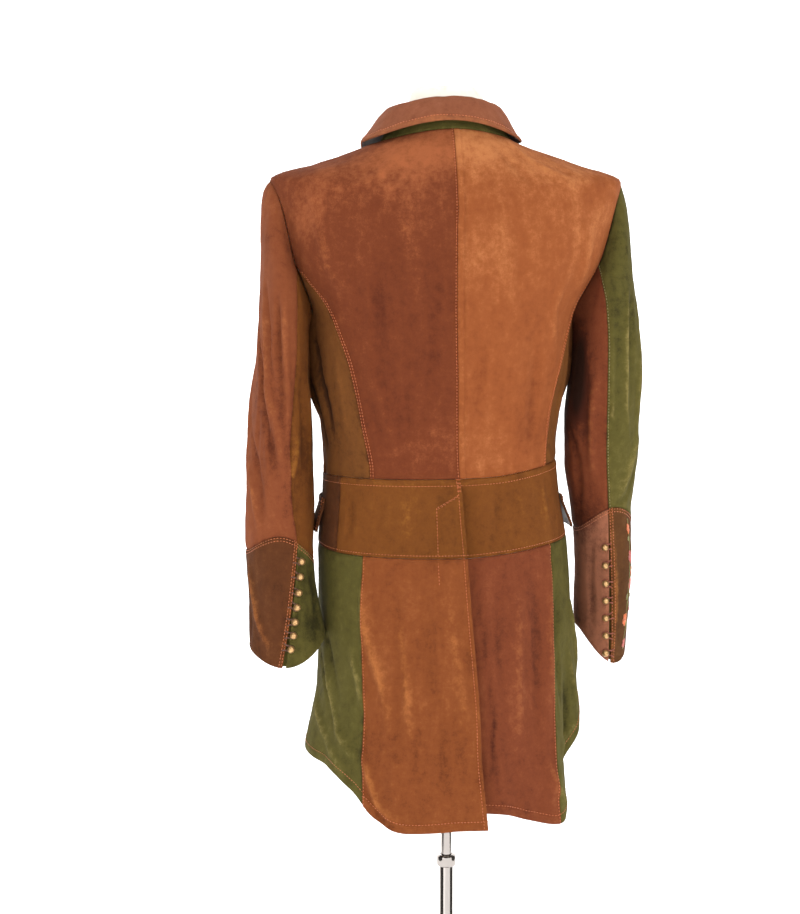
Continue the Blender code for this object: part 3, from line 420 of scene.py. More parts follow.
@dataclass
class SleeveSurface:
    """The outside of one sleeve, from the armhole to the cuff's hem."""

    side: Side

    @property
    def cuff_top(self) -> float:
        """The level of the seam between sleeve and cuff."""
        return float(SLEEVE[self.side].values[6, 0])

    @property
    def cuff_hem(self) -> float:
        """The level of the cuff's hem."""
        return float(SLEEVE[self.side].values[8, 0])

    def rim(self, angle: Places) -> tuple[Places, Places]:
        """Find the armhole's edge.

        Args:
            angle: Sleeve angles.

        Returns:
            The bearings and the levels.
        """
        sine = np.sin(np.radians(angle))
        reach = np.where(sine > 0, ARMHOLE_BACK_REACH, ARMHOLE_FRONT_REACH)
        level = ARMHOLE_MIDDLE + ARMHOLE_HALF_HEIGHT * np.cos(np.radians(angle))
        return self.side.value * (90 - reach * sine), level

    def armhole(self, angle: Places) -> Places:
        """Find places on the armhole's edge, at sleeve angles."""
        return BODY_SURFACE.points(*self.rim(angle))

    def into_armhole(self, angle: Places) -> Places:
        """Find the directions along the body that point into the armhole.

        Args:
            angle: Sleeve angles.

        Returns:
            The unit directions.
        """
        normal = BODY_SURFACE.normals(*self.rim(angle))
        inward = unit(np.cross(normal, self.armhole(angle + 1) - self.armhole(angle - 1)))
        middle = BODY_SURFACE.points(np.full_like(angle, self.side.value * 90.0),
            np.full_like(angle, ARMHOLE_MIDDLE))
        towards = np.sum(inward * (middle - self.armhole(angle)), axis=-1, keepdims=True)
        return np.where(towards > 0, inward, -inward)

    def rings(self, angle: Places) -> Places:
        """Find each angle's place on the armhole and on every ring of the table.

        Args:
            angle: Sleeve angles.

        Returns:
            The places, ring by ring.
        """
        sine, cosine = np.sin(np.radians(angle)), np.cos(np.radians(angle))
        found = [self.armhole(angle) + self.into_armhole(angle) * HALF_GAP]
        for _, x_out, x_in, y_mid, half_y, z_out, z_back, z_in, z_front, _ in \
                SLEEVE[self.side].values:
            middle = (z_out + z_in) / 2
            end = np.where(sine > 0, z_back, z_front)
            x = (x_out + x_in) / 2 + (x_out - x_in) / 2 * cosine
            z = middle + (z_out - z_in) / 2 * cosine + (end - middle) * sine * sine
            found.append(np.stack((self.side.value * x, y_mid + half_y * sine, z), axis=-1))
        return np.stack(found)

    def points(self, angle: Places, level: Places) -> Places:
        """Find places on the sleeve.

        Args:
            angle: Sleeve angles.
            level: Distances down the sleeve.

        Returns:
            The places.
        """
        rings = self.rings(angle)
        keys = np.concatenate(([0.0], SLEEVE[self.side].values[:, 0]))
        found = read_curve(keys, rings, monotone_slopes(keys, rings), level)
        reach = np.zeros_like(angle)
        for side, middle, half_width, depth, start, end in SLEEVE_CREASES:
            along = np.clip((level - start) / (end - start), 0.0, 1.0)
            away = np.clip(turned_gap(angle, middle) / half_width, -1.0, 1.0)
            if side == self.side.value:
                reach = reach + depth * np.sin(np.pi * along) * (0.5 + 0.5 * np.cos(np.pi * away))
        turn = np.radians(angle)
        out = np.stack((self.side.value * np.cos(turn), np.sin(turn), np.zeros_like(turn)), -1)
        return found + out * reach[..., None]

    def normals(self, angle: Places, level: Places) -> Places:
        """Find outward normals; at the armhole they never lean back over the body's wall.

        Args:
            angle: Sleeve angles.
            level: Distances down the sleeve.

        Returns:
            The unit normals.
        """
        inside = np.clip(level, 0.002, self.cuff_hem - 0.001)
        normal = surface_normals(self.points, angle, inside, 1.0, 0.001) * self.side.value
        inward = self.into_armhole(angle)
        lean = np.minimum(0.0, np.sum(-normal * inward, axis=-1, keepdims=True))
        kept = unit(normal + inward * lean)
        return np.where((level < 0.006)[..., None], kept, normal)

    def seam(self, level: Places) -> Places:
        """Give the sleeve angle of the back seam at a level."""
        row = SLEEVE[self.side].read("seam", level)
        return np.where(np.asarray(level) > 0, row, SLEEVE_BACK_SEAM)

    def slit_gap(self, level: Places) -> Places:
        """Give half the opening of the cuff's slit, as a sleeve angle."""
        part = (np.asarray(level) - self.cuff_top) / (self.cuff_hem - self.cuff_top)
        return 0.5 + 2.2 * np.maximum(0.0, part)


def smooth_path(places: Sequence[Sequence[float]], count: int = 26) -> Places:
    """Draw a smooth path through a few places of a surface.

    Args:
        places: Pairs of surface coordinates.
        count: How many places the path has.

    Returns:
        The two coordinates of each place, one row for each coordinate.
    """
    given = np.array(places, dtype=float)
    keys = np.arange(len(given), dtype=float)
    at = np.linspace(0.0, len(given) - 1.0, count)
    return np.stack([read_curve(keys, column, monotone_slopes(keys, column), at)
                     for column in given.T])


def distance_to_path(points: Places, path: Places) -> tuple[Places, Places]:
    """Measure how far places are from a path.

    Args:
        points: The places.
        path: The path's corners.

    Returns:
        The distances, and how far along the path, from 0 to 1, the nearest place is.
    """
    lengths = np.linalg.norm(np.diff(path, axis=0), axis=1)
    total, walked = max(float(lengths.sum()), 1e-9), 0.0
    best, along = np.full(len(points), np.inf), np.zeros(len(points))
    for start, end, length in zip(path[:-1], path[1:], lengths):
        run = end - start
        part = np.clip((points - start) @ run / max(length * length, 1e-14), 0.0, 1.0)
        gap = np.linalg.norm(points - start - part[:, None] * run, axis=1)
        near = gap < best
        best = np.where(near, gap, best)
        along = np.where(near, (walked + part * length) / total, along)
        walked += length
    return best, along


def graded(length: float, step: float) -> Places:
    """Divide a length evenly, with finer steps beside its two ends.

    Args:
        length: The whole length.
        step: The even step.

    Returns:
        The distances from the start, from 0 to the length.
    """
    near = np.array(SEAM_STEPS) * min(1.0, length / (2.4 * SEAM_STEPS[-1]))
    count = max(1, round((length - 2 * near[-1]) / step))
    middle = np.linspace(near[-1], length - near[-1], count + 1)[1:-1]
    return np.concatenate((near, middle, length - near[::-1]))


@dataclass(frozen=True)
class SeamStyle:
    """How the leather is finished along one edge of a panel, in metres."""

    dip: float = 0.0007
    round_over: float = 0.0022
    band: float = 0.0
    rise: float = 0.0
    stitches: tuple[float, ...] = ()
    groove: float = 0.0
    wear: float = 0.12
    joined: bool = True

    def relief(self, gap: Places) -> Places:
        """Shape the leather beside the edge.

        Args:
            gap: Distances from the edge.

        Returns:
            How far the leather stands out.
        """
        height = -self.dip * np.clip(1 - gap / self.round_over, 0.0, 1.0) ** 2
        if self.band:
            height = height + self.rise * (1
                - smooth_step(self.band - 0.0008, self.band + 0.0016, gap))
        for distance in self.stitches:
            height = height - 0.00045 * np.exp(-((gap - distance) / 0.0009) ** 2)
        if self.groove:
            height = height - 0.0009 * np.exp(-((gap - self.groove) / 0.001) ** 2)
        return height

    def rub(self, gap: Places) -> Places:
        """Give how worn the leather is, from 0 to 1, at distances from the edge."""
        width = max(self.band, 0.0016)
        return self.wear * (1 - smooth_step(width * 0.8, width * 1.25 + 0.0008, gap))


PLAIN = SeamStyle()
PRINCESS_BAND = SeamStyle(0.0006, 0.0016, 0.0052, 0.0006, (0.0012, 0.0043), 0.0, 0.12)
CENTRE_STITCHED = SeamStyle(0.0006, 0.0016, 0.0028, 0.0003, (0.0014,), 0.0, 0.15)
CENTRE_STRIP = SeamStyle(0.0005, 0.0016, 0.0068, 0.0004, (), 0.0078, 0.15)
WAIST_TOP = SeamStyle(0.0007, 0.0016, 0.0088, 0.0004, (0.0076,), 0.0, 0.15)
WAIST_FOOT = SeamStyle(0.0008, 0.0018, 0.003, 0.0003, (0.0034,), 0.0, 0.15)
SKIRT_STITCHED = SeamStyle(0.0008, 0.0018, 0.0034, 0.0003, (0.002,), 0.0, 0.25)
VENT_EDGE = SeamStyle(0.0006, 0.0012, 0.0062, 0.0005, (0.0046,), 0.0, 0.12, False)
HEM_EDGE = SeamStyle(0.0006, 0.0012, 0.0112, 0.0005, (0.0104,), 0.0, 0.12, False)
CUFF_SEAM = SeamStyle(0.0007, 0.0016, 0.0056, 0.0005, (0.0014, 0.0046), 0.0, 0.2)
SLIT_BAND = SeamStyle(0.0006, 0.0012, 0.005, 0.0006, (0.0012, 0.0042), 0.0, 0.3, False)
SLEEVE_STITCHED = SeamStyle(0.0007, 0.0018, 0.0032, 0.0003, (0.0018,), 0.0, 0.2)
COLLAR_EDGE = SeamStyle(0.0006, 0.0014, 0.0064, 0.0004, (0.0058,), 0.0, 0.35, False)
FREE = SeamStyle(0.0005, 0.0012, 0.0, 0.0, (), 0.0, 0.2, False)


def edges(first: SeamStyle = PLAIN, last: SeamStyle = PLAIN, start: SeamStyle = PLAIN,
        end: SeamStyle = PLAIN) -> dict[Edge, SeamStyle]:
    """Name the finish of each of a panel's edges."""
    return dict(zip(Edge, (first, last, start, end)))


@dataclass(frozen=True)
class Crease:
    """A soft ridge, or a trough where its height is below nothing, along a path."""

    path: tuple[tuple[float, float], ...]
    half_width: float
    height: float
    wear: float = 0.0
    # Extra painted shade along the crease, where it is below nothing, for shadowed gaps and deep
    # folds.
    shade: float = 0.0

    def bump(self, points: Places, surface: Surface) -> Places:
        """Shape the crease on a grid's places.

        Args:
            points: The places.
            surface: The surface that the path lies on.

        Returns:
            The crease's share, from 0 to 1, at each place.
        """
        path = surface(*smooth_path(self.path))
        near = np.all((points > path.min(axis=0) - self.half_width)
            & (points < path.max(axis=0) + self.half_width), axis=1)
        share = np.zeros(len(points))
        if near.any():
            gap, along = distance_to_path(points[near], path)
            across = np.clip(1 - (gap / self.half_width) ** 2, 0.0, 1.0) ** 2
            share[near] = across * np.clip(4.6 * along * (1 - along), 0.0, 1.0) ** 0.8
        return share


@dataclass(frozen=True)
class Spot:
    """A soft patch painted lighter, or darker where its shade is below nothing: painted light,
    painted shade and a few smudges.
    """

    place: tuple[float, float]
    radius: float
    shade: float


@dataclass(frozen=True)
class Ripple:
    """Small unevenness of soft leather, from a few seeded waves."""

    seed: int
    shortest: float
    longest: float
    height: float

    def read(self, points: Places) -> Places:
        """Read the unevenness.

        Args:
            points: Places in space.

        Returns:
            The height at each place.
        """
        source = np.random.default_rng(self.seed)
        waves = unit(source.normal(size=(14, 3)) * (1.0, 1.0, 0.55))
        waves = waves * (2 * np.pi / source.uniform(self.shortest, self.longest, (14, 1)))
        phases = source.uniform(0, 2 * np.pi, 14)
        return self.height * np.sin(points @ waves.T + phases).sum(axis=-1) / 3.0


BROAD = Ripple(11, 0.045, 0.11, 0.0007)
FINE = Ripple(23, 0.016, 0.034, 0.00026)
PUCKER = Ripple(37, 0.009, 0.016, 0.0004)


def pull_edges(points: Places, chosen: Sequence[Edge]) -> Places:
    """Move a grid's edges in by half a seam's gap.

    Args:
        points: The grid.
        chosen: The edges that meet a seam.

    Returns:
        The grid with its edges moved.
    """
    climb = unit(np.gradient(points, axis=0))
    across = unit(np.gradient(points, axis=1))
    lean = np.maximum(0.3, np.linalg.norm(np.cross(across, climb), axis=-1))[..., None]
    moved = points.copy()
    for edge, line, beside in ((Edge.FIRST, np.s_[:, 0], np.s_[:, 1]),
            (Edge.LAST, np.s_[:, -1], np.s_[:, -2]), (Edge.START, np.s_[0], np.s_[1]),
            (Edge.END, np.s_[-1], np.s_[-2])):
        if edge in chosen:
            moved[line] += unit(points[beside] - points[line]) * HALF_GAP / lean[line]
    return moved


@dataclass
class LeatherPanel:
    """One cut piece of leather: a grid on a surface, its relief, wear and shade, which holds
    painted shade, painted light and a few smudges.
    """

    name: str
    points: Places
    outward: Places
    seams: dict[Edge, SeamStyle]
    thickness: float = LEATHER
    banded_rows: int = 0
    gaps: dict[Edge, Places] = field(default_factory=dict)

    def __post_init__(self) -> None:
        """Pull the seams' edges in, find the normals and finish the edges."""
        joined = [edge for edge, style in self.seams.items() if style.joined]
        self.points = pull_edges(self.points, joined)
        cross = unit(np.cross(np.gradient(self.points, axis=0), np.gradient(self.points, axis=1)))
        facing = np.sign(np.sum(cross * self.outward, axis=-1, keepdims=True))
        self.normals = unit(cross * np.where(facing == 0, 1.0, facing) + self.outward * 0.25)
        self.flat = self.points.reshape(-1, 3)
        shape = self.points.shape[:2]
        self.shade = np.zeros(shape)
        self.wear = np.zeros(shape)
        lines = {Edge.FIRST: self.points[:, 0], Edge.LAST: self.points[:, -1],
            Edge.START: self.points[0], Edge.END: self.points[-1]}
        self.gaps = {edge: distance_to_path(self.flat, line)[0].reshape(shape) for edge,
            line in lines.items()}
        nearest = np.minimum.reduce(list(self.gaps.values()))
        if self.banded_rows:
            line = self.points[:self.banded_rows, -1]
            self.gaps[Edge.LAST] = distance_to_path(self.flat, line)[0].reshape(shape)
        held = smooth_step(0.0, 0.006, nearest)
        seam_side = np.exp(-nearest / 0.007) * held
        self.relief = (BROAD.read(self.points) * held + FINE.read(self.points) * held
            + PUCKER.read(self.points) * seam_side)
        for edge, style in self.seams.items():
            self.relief += style.relief(self.gaps[edge])
            self.wear = np.maximum(self.wear, style.rub(self.gaps[edge]))
            # A painted shade line runs along each joined seam, in its groove.
            if style.joined:
                self.shade -= 0.16 * np.exp(-(self.gaps[edge] / 0.0022) ** 2)

    def add_creases(self, creases: Iterable[Crease], surface: Surface) -> None:
        """Lay creases on the panel, with painted shade in their troughs and a painted highlight on
        their ridges.

        Args:
            creases: The creases, of which only those near the panel count.
            surface: The surface that their paths lie on.
        """
        for crease in creases:
            share = crease.bump(self.flat, surface).reshape(self.shade.shape)
            self.relief += crease.height * RELIEF_SCALE * share
            # Narrow creases get painted shade in their troughs and a painted highlight on their
            # ridges; a crease's own shade adds painted shadow.
            narrow = crease.height if crease.half_width < WIDEST_SHADED else 0.0
            shade = np.clip(narrow * CREASE_SHADE, DARKEST_PAINTED_TROUGH, LIGHTEST_PAINTED_RIDGE)
            self.shade += (shade + crease.shade) * share
            self.wear = np.maximum(self.wear, crease.wear * share)

    def add_spots(self, spots: Iterable[Spot], surface: Surface) -> None:
        """Paint soft patches lighter or darker: painted light, painted shade and a few smudges.

        Args:
            spots: The patches.
            surface: The surface that they lie on.
        """
        for spot in spots:
            middle = surface(np.array([spot.place[0]]), np.array([spot.place[1]]))[0]
            gap = np.linalg.norm(self.points - middle, axis=-1)
            self.shade += spot.shade * np.exp(-(gap / spot.radius) ** 2)

    @property
    def outer(self) -> Places:
        """The outside of the leather, with its relief."""
        return self.points + self.normals * self.relief[..., None]

    def project(self, places: Places, lift: float) -> Places:
        """Lay places on the panel's outside.

        Args:
            places: Places close to the panel.
            lift: How far above the leather they come.

        Returns:
            The places on the leather.
        """
        outer, normals = self.outer.reshape(-1, 3), self.normals.reshape(-1, 3)
        found = []
        for place in places:
            nearest = int(np.argmin(np.sum((outer - place) ** 2, axis=1)))
            normal = normals[nearest]
            found.append(place + normal * (normal @ (outer[nearest] - place) + lift))
        return np.array(found)

    def line_beside(self, edge: Edge, distance: float) -> Places:
        """Find the line on the outside at a distance from an edge.

        Args:
            edge: The edge that the line follows.
            distance: How far the line is from it.

        Returns:
            The line's places.
        """
        gap, outer, normals = self.gaps[edge], self.outer, self.normals
        if edge in (Edge.START, Edge.END):
            gap, outer, normals = gap.T, outer.swapaxes(0, 1), normals.swapaxes(0, 1)
        if edge in (Edge.LAST, Edge.END):
            gap, outer, normals = gap[:, ::-1], outer[:, ::-1], normals[:, ::-1]
        beyond = gap >= distance
        column = np.argmax(beyond, axis=1)
        rows = np.flatnonzero(beyond.any(axis=1) & (column > 0))
        column = column[rows]
        low, high = gap[rows, column - 1], gap[rows, column]
        part = ((distance - low) / np.maximum(high - low, 1e-9))[:, None]
        places = outer[rows, column - 1] * (1 - part) + outer[rows, column] * part
        return places + normals[rows, column] * 0.00022

    def flat_size(self) -> tuple[float, float, float]:
        """Measure the cut before it was sewn.

        Returns:
            Its width, length and area.
        """
        across, down = np.diff(self.points, axis=1), np.diff(self.points, axis=0)
        width = float(np.linalg.norm(across, axis=-1).sum(axis=1).max())
        length = float(np.linalg.norm(down, axis=-1).sum(axis=0).max())
        corner = np.cross(across[:-1], down[:, :-1])
        other = np.cross(across[1:], down[:, 1:])
        area = float((np.linalg.norm(corner, axis=-1) + np.linalg.norm(other, axis=-1)).sum() / 2)
        return width, length, min(area, width * length)

    def build(self, finish: Material, lining: Material) -> Object:
        """Args:
            finish: The material of the outside and the cut edges.
            lining: The material of the inside.

        Returns:
            The finished piece.
        """
        outer = self.outer
        inner = outer - self.normals * self.thickness
        rows, columns = outer.shape[:2]
        half = rows * columns
        index = np.arange(half).reshape(rows, columns)
        quads = np.stack((index[:-1, :-1], index[:-1, 1:], index[1:, 1:], index[1:, :-1]), -1)
        quads = quads.reshape(-1, 4)
        rim = np.concatenate((index[0], index[1:, -1], index[-1, -2::-1], index[-2:0:-1, 0]))
        after = np.roll(rim, -1)
        band = np.stack((rim, rim + half, after + half, after), -1)
        faces = np.concatenate((quads, quads[:, ::-1] + half, band))
        middle = quads[len(quads) // 2]
        flat = outer.reshape(-1, 3)
        facing = np.cross(flat[middle[1]] - flat[middle[0]], flat[middle[3]] - flat[middle[0]])
        if facing @ self.normals.reshape(-1, 3)[middle[0]] < 0:
            faces = faces[:, ::-1]
        mesh = bpy.data.meshes.new(self.name)
        mesh.from_pydata(np.concatenate((flat, inner.reshape(-1, 3))).tolist(), [], faces.tolist())
        # The shade attribute carries painted shade and painted light, with a few smudges.
        for label, values in (("wear", self.wear), ("shade", self.shade)):
            layer = mesh.attributes.new(label, "FLOAT", "POINT")
            layer.data.foreach_set("value", np.tile(values.ravel(), 2))
        slots = np.zeros(len(faces), dtype=np.int32)
        slots[len(quads):2 * len(quads)] = 1
        mesh.materials.append(finish)
        mesh.materials.append(lining)
        mesh.polygons.foreach_set("material_index", slots)
        mesh.shade_smooth()
        mesh.set_sharp_from_angle(angle=math.radians(62))
        item = add_piece(self.name + "_leather", mesh)
        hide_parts(self.name)
        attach(item, "form")
        width, length, area = self.flat_size()
        LOG.info("%s: cut %.0f x %.0f mm, %.4f m2, %d faces", item.name, width * 1000, length
            * 1000, area, len(faces))
        return item


def add_piece(name: str, mesh: Mesh) -> Object:
    """Link a mesh to the scene as a piece at the origin."""
    item = bpy.data.objects.new(name, mesh)
    bpy.context.scene.collection.objects.link(item)
    return item


@dataclass
class PanelCutter:
    """Cuts panels from a surface: rows between two seams that may change from row to row."""

    surface: Surface
    normals: Surface
    step: float = GRID_STEP

    def cut(self, name: str, rows: Places, low: Line, high: Line,
            level: Callable[[float, Places], Places], seams: dict[Edge, SeamStyle],
            lift: Surface | None = None, thickness: float = LEATHER,
            banded_rows: int = 0) -> LeatherPanel:
        """Cut one panel.

        Args:
            name: The CAD node that the panel stands for.
            rows: The rows' own values, in order.
            low: The first column's coordinate on a row.
            high: The last column's coordinate on a row.
            level: The second coordinate of a row at given first coordinates.
            seams: How each edge is finished.
            lift: How far the panel stands off the surface, at its coordinates.
            thickness: The leather's thickness.
            banded_rows: How many rows the last column's finish covers, or 0 for all.

        Returns:
            The panel.
        """
        lines, widths = [], []
        for row in rows:
            across = np.linspace(float(low(row)), float(high(row)), 33)
            places = self.surface(across, level(row, across))
            chord = np.concatenate(([0.0],
                np.cumsum(np.linalg.norm(np.diff(places, axis=0), axis=1))))
            lines.append((across, chord))
            widths.append(chord[-1])
        widest = max(widths)
        count = len(graded(widest, self.step))
        inside = count - 2 * len(SEAM_STEPS)
        first = np.empty((len(rows), count))
        for number, (across, chord) in enumerate(lines):
            width = chord[-1]
            near = np.array(SEAM_STEPS) * min(1.0, width / (2.4 * SEAM_STEPS[-1]))
            middle = np.linspace(near[-1], width - near[-1], inside + 2)[1:-1]
            gaps = np.concatenate((near, middle, width - near[::-1]))
            first[number] = np.interp(gaps, chord, across)
        second = np.stack([level(row, first[number]) for number, row in enumerate(rows)])
        flat_first, flat_second = first.ravel(), second.ravel()
        places = self.surface(flat_first, flat_second)
        outward = self.normals(flat_first, flat_second)
        if lift is not None:
            places = places + outward * lift(flat_first, flat_second)[:, None]
        return LeatherPanel(name, places.reshape(first.shape + (3,)),
            outward.reshape(first.shape + (3,)), seams, thickness, banded_rows)


def srgb(red: int, green: int, blue: int, depth: float = 1.0) -> tuple[float, ...]:
    """Turn a colour of 0 to 255 a channel into linear light, dyed deeper below 1."""
    parts = [value / 255 for value in (red, green, blue)]
    light = [part / 12.92 if part <= 0.04045 else ((part + 0.055) / 1.055) ** 2.4
        for part in parts]
    return (light[0] * depth, light[1] * depth, light[2] * depth, 1.0)


class Wiring:
    """Adds and joins the nodes of one tree."""

    def __init__(self, tree: NodeTree) -> None:
        """Keep the tree."""
        self.tree = tree

    def add(self, kind: str, inputs: dict | None = None, **settings: object) -> Node:
        """Add a node.

        Args:
            kind: The node's type.
            inputs: Values or sockets for its inputs, by name or number.
            **settings: The node's own settings.

        Returns:
            The node.
        """
        node = self.tree.nodes.new(kind)
        for name, value in settings.items():
            setattr(node, name, value)
        for name, value in (inputs or {}).items():
            if isinstance(value, NodeSocket):
                self.tree.links.new(value, node.inputs[name])
            else:
                node.inputs[name].default_value = value
        return node

    def math(self, operation: str, first: object, second: object = 0.0,
            clamp: bool = False) -> NodeSocket:
        """Join two numbers with one operation and give the result."""
        return self.add("ShaderNodeMath", {0: first, 1: second}, operation=operation,
            use_clamp=clamp).outputs[0]

    def mix(self, factor: object, first: object, second: object) -> NodeSocket:
        """Mix two colours by a factor and give the result."""
        return self.add("ShaderNodeMix", {0: factor, 6: first, 7: second},
            data_type="RGBA").outputs[2]

    def ramp(self, value: object, low: float, high: float) -> NodeSocket:
        """Rise softly from 0 at the low value to 1 at the high one."""
        return self.add("ShaderNodeMapRange", {"Value": value, "From Min": low, "From Max": high},
            interpolation_type="SMOOTHSTEP").outputs[0]

    def noise(self, vector: object, scale: float, detail: float, rough: float = 0.5,
            stretch: tuple[float, float, float] | None = None) -> NodeSocket:
        """Add a noise texture.

        Args:
            vector: Its coordinates.
            scale: How many waves a metre it has.
            detail: How many finer layers it has.
            rough: How strong these are.
            stretch: A scale for each axis, where the noise is drawn out.

        Returns:
            The noise's value.
        """
        if stretch is not None:
            vector = self.add("ShaderNodeMapping", {"Vector": vector, "Scale": stretch}).outputs[0]
        return self.add("ShaderNodeTexNoise", {"Vector": vector, "Scale": scale, "Detail": detail,
            "Roughness": rough}).outputs[0]


def new_group(name: str, kind: str, inputs: Sequence[tuple[str, str, object]],
        outputs: Sequence[tuple[str, str]]) -> tuple[Wiring, Mapping[str, NodeSocket]]:
    """Start a node group with named sockets.

    Args:
        name: The group's name.
        kind: The tree's type.
        inputs: Each input's name, socket type and value, or None for no value.
        outputs: Each output's name and socket type.

    Returns:
        The group's wiring and its inputs' sockets.
    """
    tree = bpy.data.node_groups.new(name, kind)
    for label, socket_type, value in inputs:
        socket = tree.interface.new_socket(name=label, in_out="INPUT", socket_type=socket_type)
        if value is not None:
            socket.default_value = value
    for label, socket_type in outputs:
        tree.interface.new_socket(name=label, in_out="OUTPUT", socket_type=socket_type)
    wiring = Wiring(tree)
    return wiring, wiring.add("NodeGroupInput").outputs


FLOAT, COLOR = "NodeSocketFloat", "NodeSocketColor"
# Shade brings each panel's painted shade and painted light into its material.
POINT_MASKS = ("Wear", "Shade")


def build_nap_group() -> NodeTree:
    """Build the group that gives suede its nap, streaks, mottling, rubbed places and painted shade
    and light.

    Returns:
        The node group, with Color, Roughness and Height.
    """
    grey = (0.5, 0.5, 0.5, 1.0)
    wiring, given = new_group(
        "suede_nap", "ShaderNodeTree", [("Body", COLOR, grey), ("Light", COLOR, grey),
        ("Deep", COLOR, grey), ("Rub", COLOR, grey), ("Wear", FLOAT, 0.0), ("Shade", FLOAT, 0.0),
        ("Patches", FLOAT, 0.5), ("Streaks", FLOAT, 0.5), ("Mottle", FLOAT, 0.5)],
        [("Color", COLOR), ("Roughness", FLOAT), ("Height", FLOAT)])
    place = wiring.add("ShaderNodeTexCoord").outputs["Object"]
    patches = wiring.noise(place, 9.0, 3.0, 0.55)
    streaks = wiring.noise(place, 62.0, 5.0, 0.6, (1.0, 1.0, 0.16))
    mottle = wiring.noise(place, 105.0, 8.0, 0.76)
    grain = wiring.noise(place, 950.0, 3.0, 0.6)
    nap = wiring.noise(place, 2600.0, 1.0)
    # The tone mixes the painted shade and light with the nap's random patches, streaks and
    # mottling.
    tone = wiring.math("MULTIPLY_ADD", given["Shade"], 0.62)
    tone.node.inputs[2].default_value = 0.5
    for source, amount in ((patches, given["Patches"]), (streaks, given["Streaks"]),
            (mottle, given["Mottle"]), (grain, 0.3)):
        offset = wiring.math("MULTIPLY", wiring.math("SUBTRACT", source, 0.5), amount)
        tone = wiring.math("ADD", tone, offset)
    colour = wiring.mix(wiring.ramp(tone, 0.12, 0.52), given["Deep"], given["Body"])
    colour = wiring.mix(wiring.ramp(tone, 0.48, 1.02), colour, given["Light"])
    # Painted deep shadow: a shade below -0.5 turns the colour towards near black.
    painted_deep_shadow = wiring.ramp(wiring.math("MULTIPLY", given["Shade"], -1.0), 0.5, 1.2)
    colour = wiring.mix(wiring.math("MULTIPLY", painted_deep_shadow, 0.86), colour, (0.01, 0.005, 0.003, 1.0))
    uneven = wiring.math("MULTIPLY", wiring.math("SUBTRACT", mottle, 0.5), 1.1)
    rubbed = wiring.ramp(wiring.math("ADD", given["Wear"], uneven), 0.12, 0.85)
    colour = wiring.mix(rubbed, colour, given["Rub"])
    rough = wiring.math("SUBTRACT", 0.97, wiring.math("MULTIPLY", rubbed, 0.16))
    height = wiring.math("ADD", wiring.math("MULTIPLY", mottle, 0.9),
        wiring.math("MULTIPLY", grain, 0.55))
    height = wiring.math("ADD", height, wiring.math("MULTIPLY", nap, 0.22))
    wiring.add("NodeGroupOutput", {"Color": colour, "Roughness": rough, "Height": height})
    return wiring.tree


def build_wear_group() -> NodeTree:
    """Build the group that clouds metal and thread with dust and tarnish.

    Returns:
        The node group, with Color, Roughness and Height.
    """
    grey = (0.5, 0.5, 0.5, 1.0)
    wiring, given = new_group(
        "tarnish", "ShaderNodeTree", [("Clean", COLOR, grey), ("Dull", COLOR, grey),
        ("Amount", FLOAT, 0.5), ("Scale", FLOAT, 200.0), ("Smooth", FLOAT, 0.2),
        ("Coarse", FLOAT, 0.5)], [("Color", COLOR), ("Roughness", FLOAT), ("Height", FLOAT)])
    place = wiring.add("ShaderNodeTexCoord").outputs["Object"]
    cloud = wiring.add("ShaderNodeTexNoise", {"Vector": place, "Scale": given["Scale"],
        "Detail": 5.0, "Roughness": 0.65}).outputs[0]
    speck = wiring.noise(place, 1800.0, 2.0, 0.6)
    edge = wiring.math("SUBTRACT", 1.0, given["Amount"])
    high = wiring.math("ADD", edge, 0.28)
    mask = wiring.add("ShaderNodeMapRange", {"Value": cloud, "From Min": edge, "From Max": high},
        interpolation_type="SMOOTHSTEP").outputs[0]
    colour = wiring.mix(mask, given["Clean"], given["Dull"])
    spread = wiring.math("SUBTRACT", given["Coarse"], given["Smooth"])
    rough = wiring.math("ADD", given["Smooth"], wiring.math("MULTIPLY", mask, spread))
    wiring.add("NodeGroupOutput", {"Color": colour, "Roughness": rough, "Height": speck})
    return wiring.tree


def shared_group(name: str, build: Callable[[], NodeTree]) -> NodeTree:
    """Give a node group, built the first time that it is asked for."""
    return bpy.data.node_groups.get(name) or build()


def group_material(name: str, tree: NodeTree, values: dict[str, object], bump: tuple[float, float],
        constants: dict[str, object]) -> Material:
    """Build a material whose colour, roughness and bump come from a node group.

    Args:
        name: The material's name.
        tree: The node group; inputs that it shares with point attributes read these.
        values: The group's values, by input.
        bump: The bump's strength and distance.
        constants: The shader's own values, by input.

    Returns:
        The material.
    """
    material = bpy.data.materials.new(name)
    material.use_nodes = True
    wiring, shader = Wiring(material.node_tree), material.node_tree.nodes["Principled BSDF"]
    group = wiring.add("ShaderNodeGroup", values, node_tree=tree)
    for label in POINT_MASKS:
        if label in group.inputs:
            mask = wiring.add("ShaderNodeAttribute", attribute_name=label.lower())
            wiring.tree.links.new(mask.outputs["Fac"], group.inputs[label])
    raised = wiring.add("ShaderNodeBump", {"Height": group.outputs["Height"], "Strength": bump[0],
        "Distance": bump[1]})
    for label, socket in (("Base Color", group.outputs["Color"]),
            ("Roughness", group.outputs["Roughness"]), ("Normal", raised.outputs[0])):
        wiring.tree.links.new(socket, shader.inputs[label])
    for label, value in constants.items():
        shader.inputs[label].default_value = value
    return material


